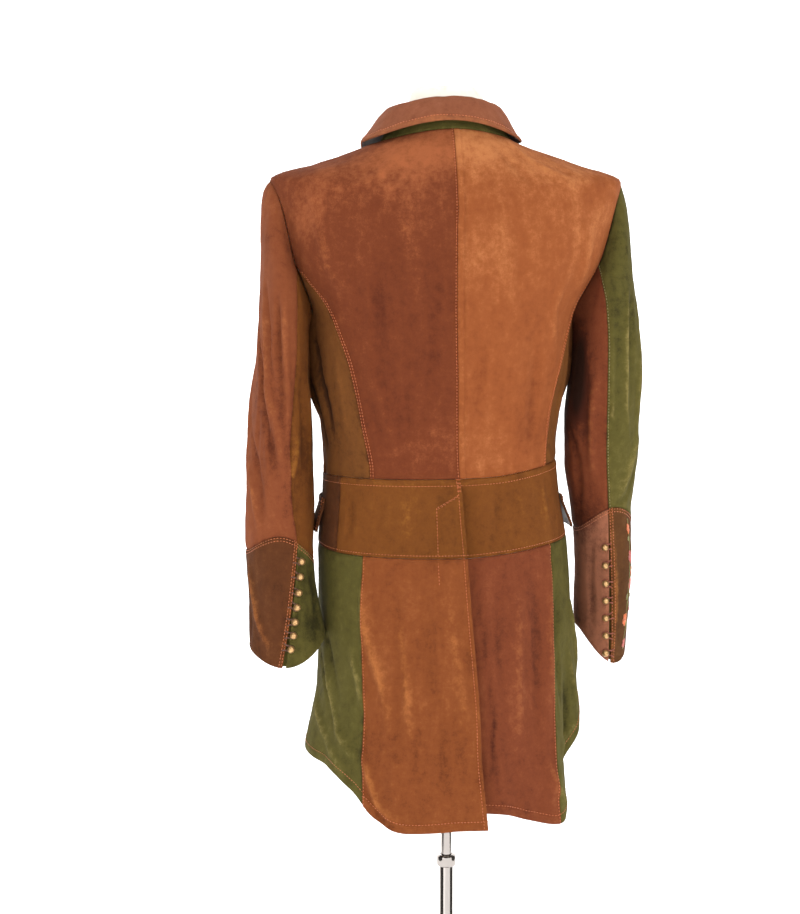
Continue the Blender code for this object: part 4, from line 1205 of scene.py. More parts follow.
@dataclass(frozen=True)
class SuedeFinish:
    """A dyed suede: its colours, how uneven they are and how far its nap shines."""

    body: tuple[int, int, int]
    # The light and deep colours carry both the nap's random tone and the painted light and shade.
    light: tuple[int, int, int]
    deep: tuple[int, int, int]
    rub: tuple[int, int, int]
    patches: float = 0.45
    streaks: float = 0.42
    mottle: float = 0.85
    sheen: float = 0.1

    def material(self, name: str) -> Material:
        """Build the suede's material under a name."""
        values = {label: srgb(*colour, DYE_DEPTH) for label, colour in (
            ("Body", self.body), ("Light", self.light), ("Deep", self.deep), ("Rub", self.rub))}
        values |= {"Patches": self.patches, "Streaks": self.streaks, "Mottle": self.mottle}
        return group_material(name, shared_group("suede_nap", build_nap_group), values,
            (0.55, 0.0009), {"Sheen Weight": self.sheen, "Sheen Roughness": 0.55,
            "Sheen Tint": srgb(*self.light), "Specular IOR Level": 0.12})


@dataclass(frozen=True)
class WornFinish:
    """Metal, thread, cord or cloth whose clean colour is clouded by a duller one."""

    clean: tuple[int, int, int]
    dull: tuple[int, int, int]
    amount: float
    scale: float
    smooth: float
    coarse: float
    metallic: float = 0.0
    bump: float = 0.1
    sheen: float = 0.0
    glow: float = 0.0

    def material(self, name: str) -> Material:
        """Build the material under a name."""
        values = {"Clean": srgb(*self.clean), "Dull": srgb(*self.dull), "Amount": self.amount,
            "Scale": self.scale, "Smooth": self.smooth, "Coarse": self.coarse}
        return group_material(name, shared_group("tarnish", build_wear_group), values,
            (self.bump, 0.0004), {"Metallic": self.metallic, "Sheen Weight": self.sheen,
            "Emission Color": srgb(*self.clean), "Emission Strength": self.glow})


class Finish(Enum):
    """The finishes of the coat, the dress form and its stand."""

    BRICK = SuedeFinish((121, 60, 33), (176, 100, 60), (94, 43, 25), (178, 100, 48))
    RUST = SuedeFinish((140, 75, 44), (176, 104, 64), (92, 44, 27), (186, 112, 58))
    TAN = SuedeFinish((158, 86, 45), (208, 132, 80), (128, 64, 32), (198, 118, 60))
    OLIVE_TAN = SuedeFinish((122, 74, 34), (158, 98, 50), (74, 42, 20), (184, 112, 52))
    OLD_GOLD = SuedeFinish((125, 72, 29), (160, 100, 42), (88, 48, 18), (186, 120, 48))
    GREEN = SuedeFinish((94, 86, 40), (134, 122, 66), (50, 46, 20), (166, 146, 86))
    DARK_BROWN = SuedeFinish((98, 56, 30), (142, 91, 52), (56, 30, 16), (178, 104, 50))
    MAUVE = SuedeFinish((170, 108, 80), (190, 128, 98), (98, 58, 44), (176, 116, 72))
    AMBER = SuedeFinish((141, 76, 38), (190, 116, 66), (98, 48, 23), (198, 122, 60))
    RUSSET = SuedeFinish((129, 66, 39), (168, 96, 60), (84, 40, 25), (180, 106, 58))
    UMBER = SuedeFinish((98, 62, 33), (132, 88, 50), (62, 37, 20), (184, 114, 58))
    COLLAR = SuedeFinish((150, 88, 60), (186, 122, 92), (96, 50, 32), (186, 112, 62))
    LINING = WornFinish((74, 50, 34), (54, 36, 25), 0.5, 40.0, 0.42, 0.6, 0.0, 0.12, 0.3)
    THREAD = WornFinish((174, 86, 28), (136, 62, 22), 0.45, 260.0, 0.55, 0.8, 0.0, 0.3, 0.2)
    GREEN_THREAD = WornFinish((130, 113, 58), (98, 84, 42), 0.45, 260.0, 0.55, 0.8, 0.0, 0.3, 0.2)
    CORD = WornFinish((86, 50, 32), (52, 30, 20), 0.5, 220.0, 0.6, 0.85, 0.0, 0.5, 0.1)
    RED_CORD = WornFinish((128, 62, 40), (84, 42, 28), 0.5, 220.0, 0.6, 0.85, 0.0, 0.5, 0.1)
    ORANGE_SILK = WornFinish((204, 100, 38), (164, 74, 28), 0.4, 300.0, 0.38, 0.55, 0.0, 0.3, 0.3)
    PINK_SILK = WornFinish((190, 90, 80), (150, 64, 58), 0.4, 300.0, 0.38, 0.55, 0.0, 0.3, 0.3)
    GREEN_SILK = WornFinish((124, 122, 58), (88, 88, 40), 0.4, 300.0, 0.4, 0.6, 0.0, 0.3, 0.3)
    BRASS = WornFinish((184, 146, 98), (118, 86, 54), 0.52, 420.0, 0.28, 0.46, 0.75, 0.14)
    CHROME = WornFinish((164, 157, 152), (140, 133, 128), 0.4, 60.0, 0.07, 0.2, 1.0, 0.02)
    JERSEY = WornFinish((226, 219, 206), (210, 202, 188), 0.5, 70.0, 0.75, 0.92, 0.0, 0.5, 0.25)
    CARD = WornFinish((60, 58, 56), (50, 48, 46), 0.4, 3.0, 0.9, 0.95)
    BACKDROP = WornFinish((255, 255, 255), (252, 252, 252), 0.4, 3.0, 0.85, 0.9, 0.0, 0.0,
        glow=0.62)

    def material(self) -> Material:
        """Give the finish's material, built the first time that it is asked for."""
        name = self.name.lower()
        return bpy.data.materials.get(name) or self.value.material(name)


def build_stitch_tree() -> NodeTree:
    """Build the tree that sets a short padded stitch at every pitch along its paths.

    Returns:
        The geometry node tree.
    """
    wiring, given = new_group(
        "stitch_rows", "GeometryNodeTree", [("Geometry", "NodeSocketGeometry", None),
        ("Pitch", FLOAT, 0.0028), ("Stitch Length", FLOAT, 0.0021), ("Thickness", FLOAT, 0.0007),
        ("Seed", "NodeSocketInt", 5), ("Material", "NodeSocketMaterial", None)],
        [("Geometry", "NodeSocketGeometry")])
    curve = wiring.add("GeometryNodeMeshToCurve", {"Mesh": given["Geometry"]})
    points = wiring.add("GeometryNodeCurveToPoints",
        {"Curve": curve.outputs[0], "Length": given["Pitch"]}, mode="LENGTH")
    ball = wiring.add("GeometryNodeMeshUVSphere", {"Segments": 5, "Rings": 4, "Radius": 0.5})
    size = wiring.add("ShaderNodeCombineXYZ", {0: given["Thickness"], 1: given["Thickness"],
        2: given["Stitch Length"]})
    shaped = wiring.add("GeometryNodeTransform", {"Geometry": ball.outputs["Mesh"],
        "Scale": size.outputs[0]})
    turn = wiring.add("FunctionNodeAlignRotationToVector", {"Vector": points.outputs["Tangent"]},
        axis="Z")
    vary = wiring.add("FunctionNodeRandomValue", {"Min": 0.86, "Max": 1.1, "Seed": given["Seed"]},
        data_type="FLOAT")
    vary_out = next(socket for socket in vary.outputs if socket.enabled)
    placed = wiring.add("GeometryNodeInstanceOnPoints", {"Points": points.outputs["Points"],
        "Instance": shaped.outputs[0], "Rotation": turn.outputs[0], "Scale": vary_out})
    real = wiring.add("GeometryNodeRealizeInstances", {"Geometry": placed.outputs[0]})
    smooth = wiring.add("GeometryNodeSetShadeSmooth", {"Geometry": real.outputs[0]})
    dressed = wiring.add("GeometryNodeSetMaterial", {"Geometry": smooth.outputs[0],
        "Material": given["Material"]})
    wiring.add("NodeGroupOutput", {"Geometry": dressed.outputs[0]})
    return wiring.tree


def build_cord_tree() -> NodeTree:
    """Build the tree that runs a round cord along its paths.

    Returns:
        The geometry node tree.
    """
    wiring, given = new_group(
        "cord_on_path", "GeometryNodeTree", [("Geometry", "NodeSocketGeometry", None),
        ("Thickness", FLOAT, 0.0016), ("Sides", "NodeSocketInt", 8),
        ("Material", "NodeSocketMaterial", None)], [("Geometry", "NodeSocketGeometry")])
    curve = wiring.add("GeometryNodeMeshToCurve", {"Mesh": given["Geometry"]})
    radius = wiring.math("DIVIDE", given["Thickness"], 2.0)
    circle = wiring.add("GeometryNodeCurvePrimitiveCircle",
        {"Resolution": given["Sides"], "Radius": radius})
    tube = wiring.add("GeometryNodeCurveToMesh", {"Curve": curve.outputs[0],
        "Profile Curve": circle.outputs[0], "Fill Caps": True})
    smooth = wiring.add("GeometryNodeSetShadeSmooth", {"Geometry": tube.outputs[0]})
    real = wiring.add("GeometryNodeRealizeInstances", {"Geometry": smooth.outputs[0]})
    dressed = wiring.add("GeometryNodeSetMaterial", {"Geometry": real.outputs[0],
        "Material": given["Material"]})
    wiring.add("NodeGroupOutput", {"Geometry": dressed.outputs[0]})
    return wiring.tree


def run_along(name: str, paths: Sequence[Places], tree: NodeTree,
        values: dict[str, object]) -> Object:
    """Run a node tree along paths and keep the result as a plain mesh on the coat.

    Args:
        name: The piece's name.
        paths: The paths' places.
        tree: The geometry node tree.
        values: The tree's inputs, by name.

    Returns:
        The piece, which rides on the dress form.
    """
    places = np.concatenate(paths)
    edges, start = [], 0
    for path in paths:
        edges += [(start + step, start + step + 1) for step in range(len(path) - 1)]
        start += len(path)
    line = bpy.data.meshes.new(name + "_path")
    line.from_pydata(places.tolist(), edges, [])
    item = add_piece(name, line)
    modifier = item.modifiers.new("follow", "NODES")
    modifier.node_group = tree
    for socket in tree.interface.items_tree:
        if socket.in_out == "INPUT" and socket.name in values:
            modifier[socket.identifier] = values[socket.name]
    made = item.evaluated_get(bpy.context.evaluated_depsgraph_get())
    mesh = bpy.data.meshes.new_from_object(made)
    mesh.name = name
    item.modifiers.remove(modifier)
    item.data = mesh
    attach(item, "form")
    LOG.info("%s: %d paths, %d faces", name, len(paths), len(mesh.polygons))
    return item


@dataclass
class Needlework:
    """Collects the rows of stitches and sews each set as one piece."""

    pitch: float = 0.0037
    length: float = 0.0025
    thickness: float = 0.00095
    first_seed: int = 5
    rows: dict[tuple[str, Finish], list[Places]] = field(default_factory=dict)

    def add(self, piece: str, finish: Finish, row: Places) -> None:
        """Keep a row of stitches for a piece.

        Args:
            piece: The piece's name.
            finish: The thread.
            row: The row's places.
        """
        if len(row) > 1:
            self.rows.setdefault((piece, finish), []).append(row)

    def follow(self, panel: LeatherPanel, piece: str, finish: Finish = Finish.THREAD) -> None:
        """Keep the rows that a panel's edges ask for.

        Args:
            panel: The panel.
            piece: The piece's name.
            finish: The thread.
        """
        for edge, style in panel.seams.items():
            for distance in style.stitches:
                self.add(piece, finish, panel.line_beside(edge, distance))

    def sew(self) -> None:
        """Sew every set of rows."""
        tree = build_stitch_tree()
        for number, ((piece, finish), rows) in enumerate(self.rows.items()):
            values = {"Pitch": self.pitch, "Stitch Length": self.length,
                "Thickness": self.thickness, "Seed": number + self.first_seed,
                "Material": finish.material()}
            run_along(piece, rows, tree, values)


def creases(*rows: tuple[float, ...]) -> tuple[Crease, ...]:
    """Lay out creases: half width and height in mm, wear, painted shade, then the path's pairs."""
    return tuple(Crease(tuple(zip(row[4::2], row[5::2])), row[0] / 1000, row[1] / 1000, *row[2:4])
        for row in rows)


# Where a crease's shade is below nothing it paints shadow: in the gap under the right arm and in
# the dark folds of the left side.
BODY_CREASES = creases(
    (40, 8, 0, 0, 98, 1.195, 96, 1.17, 93, 1.125, 90, 1.07), (40, 8.4, 0, -0.45, -98, 1.195, -96,
    1.17, -93, 1.125, -90, 1.08), (6, -2.6, 0, -0.75, 84, 1.17, 80, 1.136, 74, 1.096, 71, 1.048),
    (6, -2, 0, -0.6, 90, 1.13, 84, 1.08, 80, 1.03), (7, 1.8, 0.2, 0, 86, 1.13, 80, 1.09, 77, 1.04),
    (8, 1.6, 0.15, 0, 64, 1.15, 62, 1.1, 60, 1.04), (8, -2, 0, 0, 82, 1.024, 89, 0.992, 71, 0.952),
    (13, 2, 0.2, 0, 66, 1.32, 60, 1.262, 54, 1.208),
    (14, -2.2, 0, 0, 41, 1.264, 40, 1.192, 41, 1.096),
    (16, 1.8, 0.15, 0, 29, 1.344, 26, 1.28, 22, 1.192),
    (13, -1.4, 0, 0, 14, 1.3, 13, 1.2, 15, 1.08), (12, 1.6, 0.1, 0, 48, 1.15, 40, 1.08, 36, 1.03),
    (12, 2.2, 0.2, 0, -60, 1.288, -62, 1.25, -64, 1.216),
    (14, -2.2, 0, 0, -42, 1.184, -46, 1.12, -50, 1.032),
    (10, 1.8, 0.15, 0, -54, 1.24, -52, 1.2, -56, 1.15),
    (16, 1.6, 0.1, 0, -22, 1.34, -24, 1.26, -28, 1.16),
    (13, -1.4, 0, 0, -12, 1.2, -14, 1.12, -20, 1.03),
    (9, 1.8, 0.15, 0, -72, 1.18, -74, 1.11, -70, 1.04),
    (8, -2, 0, 0, -80, 1.12, -84, 1.08, -80, 1.03),
    (10, 1.6, 0.25, 0, 41, 1.384, 44, 1.352, 53, 1.328),
    (9, -1.2, 0, 0, 28, 1.392, 33, 1.366, 38, 1.34),
    (10, 1.6, 0.25, 0, -44, 1.4, -49, 1.36, -58, 1.328),
    (9, -1.2, 0, 0, -30, 1.396, -34, 1.368, -40, 1.34), (8, 1, 0, 0, 20, 1.05, 34, 1.04, 46, 1.03),
    (8, 1, 0, 0, -14, 1.044, -30, 1.052, -50, 1.04),
    (12, -2.2, 0, 0, 112, 1.2, 118, 1.12, 122, 1.03),
    (14, 2, 0.15, 0, 128, 1.28, 132, 1.2, 136, 1.1),
    (14, -1.6, 0, 0, 150, 1.3, 148, 1.2, 150, 1.08),
    (9, 1.8, 0.15, 0, 104, 1.14, 106, 1.08, 110, 1.02),
    (12, -2.2, 0, 0, -112, 1.2, -118, 1.12, -122, 1.03),
    (14, 2, 0.15, 0, -128, 1.28, -130, 1.2, -136, 1.1),
    (14, -1.6, 0, 0, -148, 1.29, -150, 1.2, -148, 1.08),
    (9, 1.8, 0.15, 0, -104, 1.14, -107, 1.08, -110, 1.02),)
# The first two creases paint the dark shadow in the slit beside the vent.
SKIRT_CREASES = creases(
    (6, -0.8, 0, -1.3, -9, 0.915, -10, 0.85, -11.5, 0.78),
    (6, -0.8, 0, -0.7, -11.5, 0.79, -12.5, 0.72, -13, 0.65),
    (11, 3, 0.35, 0, 50, 0.895, 47, 0.832, 36, 0.752, 32, 0.7), (10, -2.6, 0, 0, 31, 0.88, 30,
    0.824, 29, 0.776, 29, 0.726), (9, 2.6, 0.35, 0, 30, 0.85, 28, 0.8, 26, 0.752, 23, 0.7), (11,
    -2.6, 0, 0, 19, 0.895, 18, 0.864, 16, 0.808, 16, 0.72), (9, 3.2, 0.45, 0, 44, 0.69, 40, 0.672,
    34, 0.632, 24, 0.616), (8, -2.2, 0, 0, 40, 0.65, 32, 0.616, 26, 0.61),
    (11, 2.2, 0.3, 0, 7, 0.89, 6, 0.85, 2, 0.768, -2, 0.68),
    (10, -2, 0, 0, 12, 0.78, 9, 0.71, 8, 0.64), (8, 3, 0.35, 0, 77, 0.8, 64, 0.728, 44, 0.672),
    (7, -2.4, 0, 0, 76, 0.83, 70, 0.792, 60, 0.742),
    (7, 2.2, 0.3, 0, 56, 0.812, 53, 0.792, 47, 0.736),
    (8, 2.8, 0.35, 0, 90, 0.742, 66, 0.696, 50, 0.658),
    (7, -2.2, 0, 0, 88, 0.8, 72, 0.752, 58, 0.7),
    (8, 2.6, 0.3, 0, -64, 0.8, -68, 0.744, -72, 0.722),
    (8, 2.4, 0.3, 0, -46, 0.684, -58, 0.688, -70, 0.706),
    (8, -2.8, 0, 0, -60, 0.76, -62, 0.72, -58, 0.68),
    (9, -2.8, 0, 0, -54, 0.88, -52, 0.8, -50, 0.726),
    (9, 2.6, 0.25, 0, -70, 0.86, -76, 0.8, -82, 0.752),
    (11, 2.8, 0.3, 0, -52, 0.904, -46, 0.816, -41, 0.73),
    (10, -2.6, 0, 0, -42, 0.89, -37, 0.8, -33, 0.7),
    (11, 2.8, 0.3, 0, -31, 0.88, -26, 0.768, -23, 0.68),
    (10, -2.2, 0, 0, -20, 0.89, -18, 0.8, -16, 0.7),
    (8, 1.8, 0.25, 0, -10, 0.7, -10, 0.648, -8, 0.626),
    (8, 2.2, 0.35, 0, -36, 0.68, -40, 0.64, -46, 0.622),
    (10, -2.8, 0, 0, 100, 0.86, 104, 0.78, 108, 0.7),
    (11, 3, 0.3, 0, 118, 0.88, 120, 0.8, 126, 0.71),
    (10, -2.6, 0, 0, 140, 0.88, 142, 0.79, 138, 0.71),
    (11, 2.6, 0.25, 0, 158, 0.88, 160, 0.8, 164, 0.72),
    (10, -2.8, 0, 0, -100, 0.86, -104, 0.8, -106, 0.74),
    (11, 3, 0.3, 0, -120, 0.88, -122, 0.81, -128, 0.74),
    (10, -2.6, 0, 0, -142, 0.88, -140, 0.8, -146, 0.72),
    (11, 2.6, 0.25, 0, -160, 0.88, -162, 0.8, -158, 0.72),)
# The first crease paints the shadow in the slit beside the vent's lap.
BAND_CREASES = creases(
    (6, -1, 0, -1.5, -7.5, 0.988, -8.5, 0.95, -9, 0.905),
    (9, 1.6, 0.3, 0, -56, 1, -56, 0.976, -55, 0.94),
    (10, -1.4, 0, 0, 42, 0.995, 42, 0.962, 44, 0.93),
    (9, 1.4, 0.25, 0, 26, 0.99, 28, 0.96, 26, 0.93),
    (9, -1.4, 0, 0, -28, 0.99, -26, 0.96, -23, 0.93), (8, 1.4, 0.2, 0, -40, 0.99, -41, 0.95),
    (7, -2.2, 0, 0, 60, 0.99, 58, 0.95, 60, 0.925),
    (10, 1.6, 0.2, 0, 110, 0.995, 114, 0.96, 112, 0.93), (9, -1.6, 0, 0, 140, 0.995, 138, 0.95),
    (10, 1.6, 0.2, 0, -110, 0.995, -113, 0.95), (9, -1.6, 0, 0, -140, 0.995, -138, 0.95),)
# Creases whose shade is below nothing paint the shadow on the inside of the arm, between sleeve
# and body; the widest has no height and is painted shadow only.
SLEEVE_BENDS = {
    Side.LEFT: creases((8.5, 3.4, 0.2, 0, 18, 0.105, 42, 0.162, 60, 0.216, 81, 0.258, 92, 0.31),
    (7.5, 3, 0.2, 0, 76, 0.072, 84, 0.132, 90, 0.192, 94, 0.232), (8.5, -3.4, 0, 0, 8, 0.152, 42,
    0.222, 63, 0.264, 78, 0.312), (7, -3, 0, 0, 67, 0.086, 72, 0.144, 84, 0.198, 85, 0.256),
    (7, -2.2, 0, 0, 30, 0.1, 54, 0.176, 72, 0.226),
    (8, 2.6, 0.35, 0, 112, 0.222, 112, 0.258, 99, 0.316),
    (9, -2.6, 0, 0, -2, 0.252, 39, 0.306, 56, 0.372),
    (8, 2.4, 0.3, 0, 6, 0.29, 34, 0.336, 50, 0.384),
    (9, 2.6, 0.3, 0, -20, 0.19, -10, 0.26, 8, 0.33),
    (8, -2.6, 0, 0, 126, 0.15, 132, 0.22, 128, 0.29),
    (14, -0.8, 0, -0.7, 158, 0.06, 160, 0.16, 158, 0.26),
    (9, 2.4, 0.2, 0, 140, 0.11, 150, 0.19, 150, 0.28),
    (10, 2.8, 0.3, 0, 250, 0.12, 262, 0.2, 270, 0.29),
    (9, -2.8, 0, 0, 282, 0.1, 296, 0.19, 300, 0.28),
    (10, 2.6, 0.3, 0, 312, 0.12, 326, 0.21, 334, 0.31),
    (10, -2.4, 0, 0, 200, 0.12, 214, 0.22, 222, 0.32), (8, 2.4, 0.45, 0, 18, 0.402, 30, 0.47, 48,
    0.51, 64, 0.534), (9, -2, 0, 0, 0, 0.41, 6, 0.47, 14, 0.53),
    (9, -2, 0, 0, 140, 0.41, 150, 0.46, 146, 0.52),
    (9, 2, 0.3, 0, -40, 0.41, -50, 0.47, -44, 0.53),), Side.RIGHT: creases((4.4, 2.2, 0.4, 0, 57,
    0.086, 69, 0.144, 72, 0.216, 69, 0.258, 60, 0.282),
    (8, -2.2, 0, 0, 47, 0.1, 57, 0.16, 60, 0.23), (8, -2, 0, 0, 82, 0.08, 84, 0.15, 86, 0.23),
    (9, 2.4, 0.3, 0, 20, 0.1, 34, 0.18, 42, 0.26), (4, 1, 0.45, 0, 90, 0.23, 96, 0.222, 92, 0.205),
    (9, -2.6, 0, 0, 165, 0.18, 148, 0.288, 157, 0.366),
    (18, -1, 0, -0.8, 150, 0.04, 152, 0.12, 150, 0.2),
    (30, 0, 0, -0.85, 176, 0.04, 180, 0.13, 182, 0.24),
    (8, 2.6, 0.3, 0, 122, 0.13, 128, 0.22, 122, 0.32),
    (8, -2.2, 0, 0, 140, 0.09, 138, 0.18, 134, 0.26),
    (8.5, 2.6, 0.35, 0, 40, 0.27, 64, 0.32, 84, 0.356),
    (7.5, -2.4, 0, 0, 30, 0.3, 56, 0.346, 80, 0.372),
    (9, 2.6, 0.3, 0, -20, 0.16, -6, 0.25, 10, 0.33),
    (10, 2.8, 0.3, 0, 250, 0.12, 262, 0.2, 270, 0.29),
    (9, -2.8, 0, 0, 282, 0.1, 296, 0.19, 300, 0.28),
    (10, 2.6, 0.3, 0, 312, 0.12, 326, 0.21, 334, 0.31),
    (10, -2.4, 0, 0, 200, 0.12, 214, 0.22, 222, 0.32),
    (6, 1.4, 0.4, 0, 88, 0.4, 82, 0.46, 78, 0.52), (8, -1.8, 0, 0, 30, 0.4, 24, 0.46, 26, 0.52),
    (8, -1.8, 0, 0, 130, 0.4, 136, 0.45, 126, 0.51),
    (9, 2, 0.3, 0, -40, 0.4, -48, 0.45, -44, 0.515),),}
# The lighter spots on the shoulders are painted light from above; the first two are small dark
# smudges; the others lighten or darken the nap in soft patches, with painted shade at the left
# side below the arm.
BODY_SPOTS = (
    Spot((-61, 1.312), 0.014, -0.4), Spot((-66, 1.328), 0.012, -0.34),
    Spot((40, 1.372), 0.046, 0.5), Spot((62, 1.34), 0.04, 0.46), Spot((14, 1.385), 0.04, 0.36),
    Spot((-40, 1.375), 0.046, 0.42), Spot((-60, 1.345), 0.036, 0.36),
    Spot((-14, 1.385), 0.04, 0.36), Spot((-66, 1.29), 0.03, 0.26), Spot((68, 1.29), 0.026, 0.3),
    Spot((30, 1.24), 0.06, -0.1), Spot((36, 1.12), 0.05, -0.1), Spot((-46, 1.06), 0.03, -0.16),
    Spot((10, 1.15), 0.04, 0.1), Spot((-16, 1.26), 0.05, 0.12), Spot((80, 1.1), 0.03, -0.25),)
# Darker spots paint shade in the slit beside the vent and in the deepest folds; lighter ones
# lighten the nap.
SKIRT_SPOTS = (
    Spot((-6, 0.8), 0.016, -0.22), Spot((-30, 0.72), 0.05, 0.1), Spot((24, 0.74), 0.03, 0.18),
    Spot((40, 0.8), 0.03, 0.14), Spot((44, 0.69), 0.03, -0.16), Spot((-58, 0.74), 0.026, -0.28),
    Spot((-40, 0.64), 0.03, 0.16), Spot((86, 0.76), 0.026, -0.2),)
# Darker spots on the inside of each arm paint the shade between sleeve and body; the rest lighten
# or darken the nap near the armhole.
SLEEVE_SPOTS = {
    Side.LEFT: (Spot((40, 0.05), 0.026, -0.2), Spot((20, 0.03), 0.03, 0.16),
    Spot((133, 0.5), 0.02, -0.4), Spot((150, 0.44), 0.026, -0.35), Spot((160, 0.24), 0.04, -0.35),
    Spot((150, 0.12), 0.03, -0.25)), Side.RIGHT: (Spot((165, 0.06), 0.03, -0.6),
    Spot((165, 0.13), 0.034, -0.6), Spot((160, 0.2), 0.03, -0.35),
    Spot((159, 0.366), 0.028, -0.36), Spot((165, 0.51), 0.018, -0.3),
    Spot((40, 0.05), 0.026, -0.14), Spot((60, 0.35), 0.024, 0.14)),}


def front_lift(bearing: Places, level: Places) -> Places:
    """Give how far the right front stands off, because it laps over the left one."""
    start = 150 + 10 * smooth_step(1.3, 1.4, level)
    part = np.clip((np.abs(bearing) - start) / 15, 0.0, 1.0)
    return LAP_LIFT * part * part * (3 - 2 * part)


def back_lap_lift(bearing: Places, level: Places) -> Places:
    """Give how far the left back stands off below the waistband's top, as a vent's edge."""
    near_edge = 1 - smooth_step(13, 26, bearing)
    below_seam = 1 - smooth_step(0.985, 1.003, level)
    foot = smooth_step(-0.88, -0.62, -level) * (1 - smooth_step(-10, 6, bearing))
    return LAP_LIFT * near_edge * below_seam + 0.0035 * foot


def back_underlap_sink(bearing: Places, level: Places) -> Places:
    """Give how far the right back sinks in beside the vent, so that the slit reads dark."""
    near = smooth_step(-17, -8, bearing) * (1 - smooth_step(0.985, 1.0, level))
    return -0.0058 * near


@dataclass
class Coat:
    """What every part of the coat shares: its needlework and its finished panels."""

    work: Needlework = field(default_factory=Needlework)
    panels: dict[str, LeatherPanel] = field(default_factory=dict)

    def dress(self, panel: LeatherPanel, finish: Finish, thread: Finish = Finish.THREAD,
            piece: str = "") -> None:
        """Build a panel and keep its rows of stitches.

        Args:
            panel: The panel, with its creases and spots laid.
            finish: The suede.
            thread: The thread of its topstitching.
            piece: The name of the piece that its stitches belong to.
        """
        panel.build(finish.material(), Finish.LINING.material())
        self.work.follow(panel, piece, thread)
        self.panels[panel.name] = panel


@dataclass
class Bodice:
    """The coat's upper body: two backs, two side panels and two fronts."""

    coat: Coat
    row_step: float = 0.0052
    armhole_step: float = 4.0

    def rows(self) -> Places:
        """Give the rows' levels, denser round the armholes.

        Returns:
            The levels from the waist seam to the neck seam.
        """
        length = NECK_LEVEL - WAIST_LEVEL
        even = WAIST_LEVEL + graded(length, self.row_step)
        angles = np.radians(np.arange(180.0, -0.1, -self.armhole_step))
        oval = ARMHOLE_MIDDLE + ARMHOLE_HALF_HEIGHT * np.cos(angles)
        outside = even[(even < UNDERARM_LEVEL - 0.001) | (even > SHOULDER_LEVEL + 0.001)]
        return np.sort(np.concatenate((outside, oval)))

    def level(self, row: float, bearing: Places) -> Places:
        """Give a row's level; the lowest rows follow the waist seam, which isn't level."""
        fade = 1 - smooth_step(WAIST_LEVEL, 1.12, row)
        return row + (WAIST_SEAM.read("level", bearing) - WAIST_LEVEL) * fade

    def armhole_edge(self, side: Side, level: float, front: bool) -> float:
        """Give the bearing of the armhole's edge, or of the side seam above and below it."""
        offset = (level - ARMHOLE_MIDDLE) / ARMHOLE_HALF_HEIGHT
        reach = ARMHOLE_FRONT_REACH if front else -ARMHOLE_BACK_REACH
        return side.value * (90 + reach * math.sqrt(max(0.0, 1 - offset * offset)))

    def build(self) -> None:
        """Cut, crease and dress the six panels."""
        cutter = PanelCutter(BODY_SURFACE.points, BODY_SURFACE.normals)
        rows = self.rows()
        join = ARMHOLE_MIDDLE + ARMHOLE_HALF_HEIGHT * math.cos(math.radians(PRINCESS_JOIN))
        side_rows = np.append(rows[rows < join - 0.002], join - 0.0012)
        for side in Side:
            left = side is Side.LEFT

            def princess(row: float, side: Side = side) -> float:
                """Give the bearing of the curved back seam."""
                return side.value * float(PRINCESS[side].read("bearing", row))

            def back_high(row: float, side: Side = side) -> float:
                """Give the back panel's outer edge: the curved seam, then the armhole."""
                if row > join - 0.0005:
                    return self.armhole_edge(side, row, False)
                return princess(row, side)

            def side_high(row: float, side: Side = side) -> float:
                """Give the side panel's outer edge."""
                return self.armhole_edge(side, row, False)

            def front_low(row: float, side: Side = side) -> float:
                """Give the front's edge at the armhole and side seam."""
                return self.armhole_edge(side, row, True)

            back = cutter.cut("bodice_back_" + side.word, rows, self.centre, back_high, self.level,
                edges(CENTRE_STITCHED if left else CENTRE_STRIP, PRINCESS_BAND),
                banded_rows=int(np.sum(rows < join)))
            self.finish(back, Finish.BRICK if left else Finish.TAN)
            flank = cutter.cut("bodice_side_" + side.word, side_rows, princess, side_high,
                self.level, edges())
            self.finish(flank, Finish.OLIVE_TAN)
            front = cutter.cut("bodice_front_" + side.word, rows, front_low,
                fixed(side.value * FRONT_EDGE), self.level, edges(PLAIN, VENT_EDGE), None if left
                else front_lift)
            self.finish(front, Finish.TAN if left else Finish.RUST)

    def centre(self, row: float) -> float:
        """Give the bearing of the centre back seam."""
        return float(CENTRE_EDGE.read("bearing", row))

    def finish(self, panel: LeatherPanel, finish: Finish) -> None:
        """Crease a panel, paint its lighter and darker patches and dress it."""
        panel.add_creases(BODY_CREASES, BODY_SURFACE.points)
        panel.add_spots(BODY_SPOTS, BODY_SURFACE.points)
        self.coat.dress(panel, finish, piece="bodice_stitching")


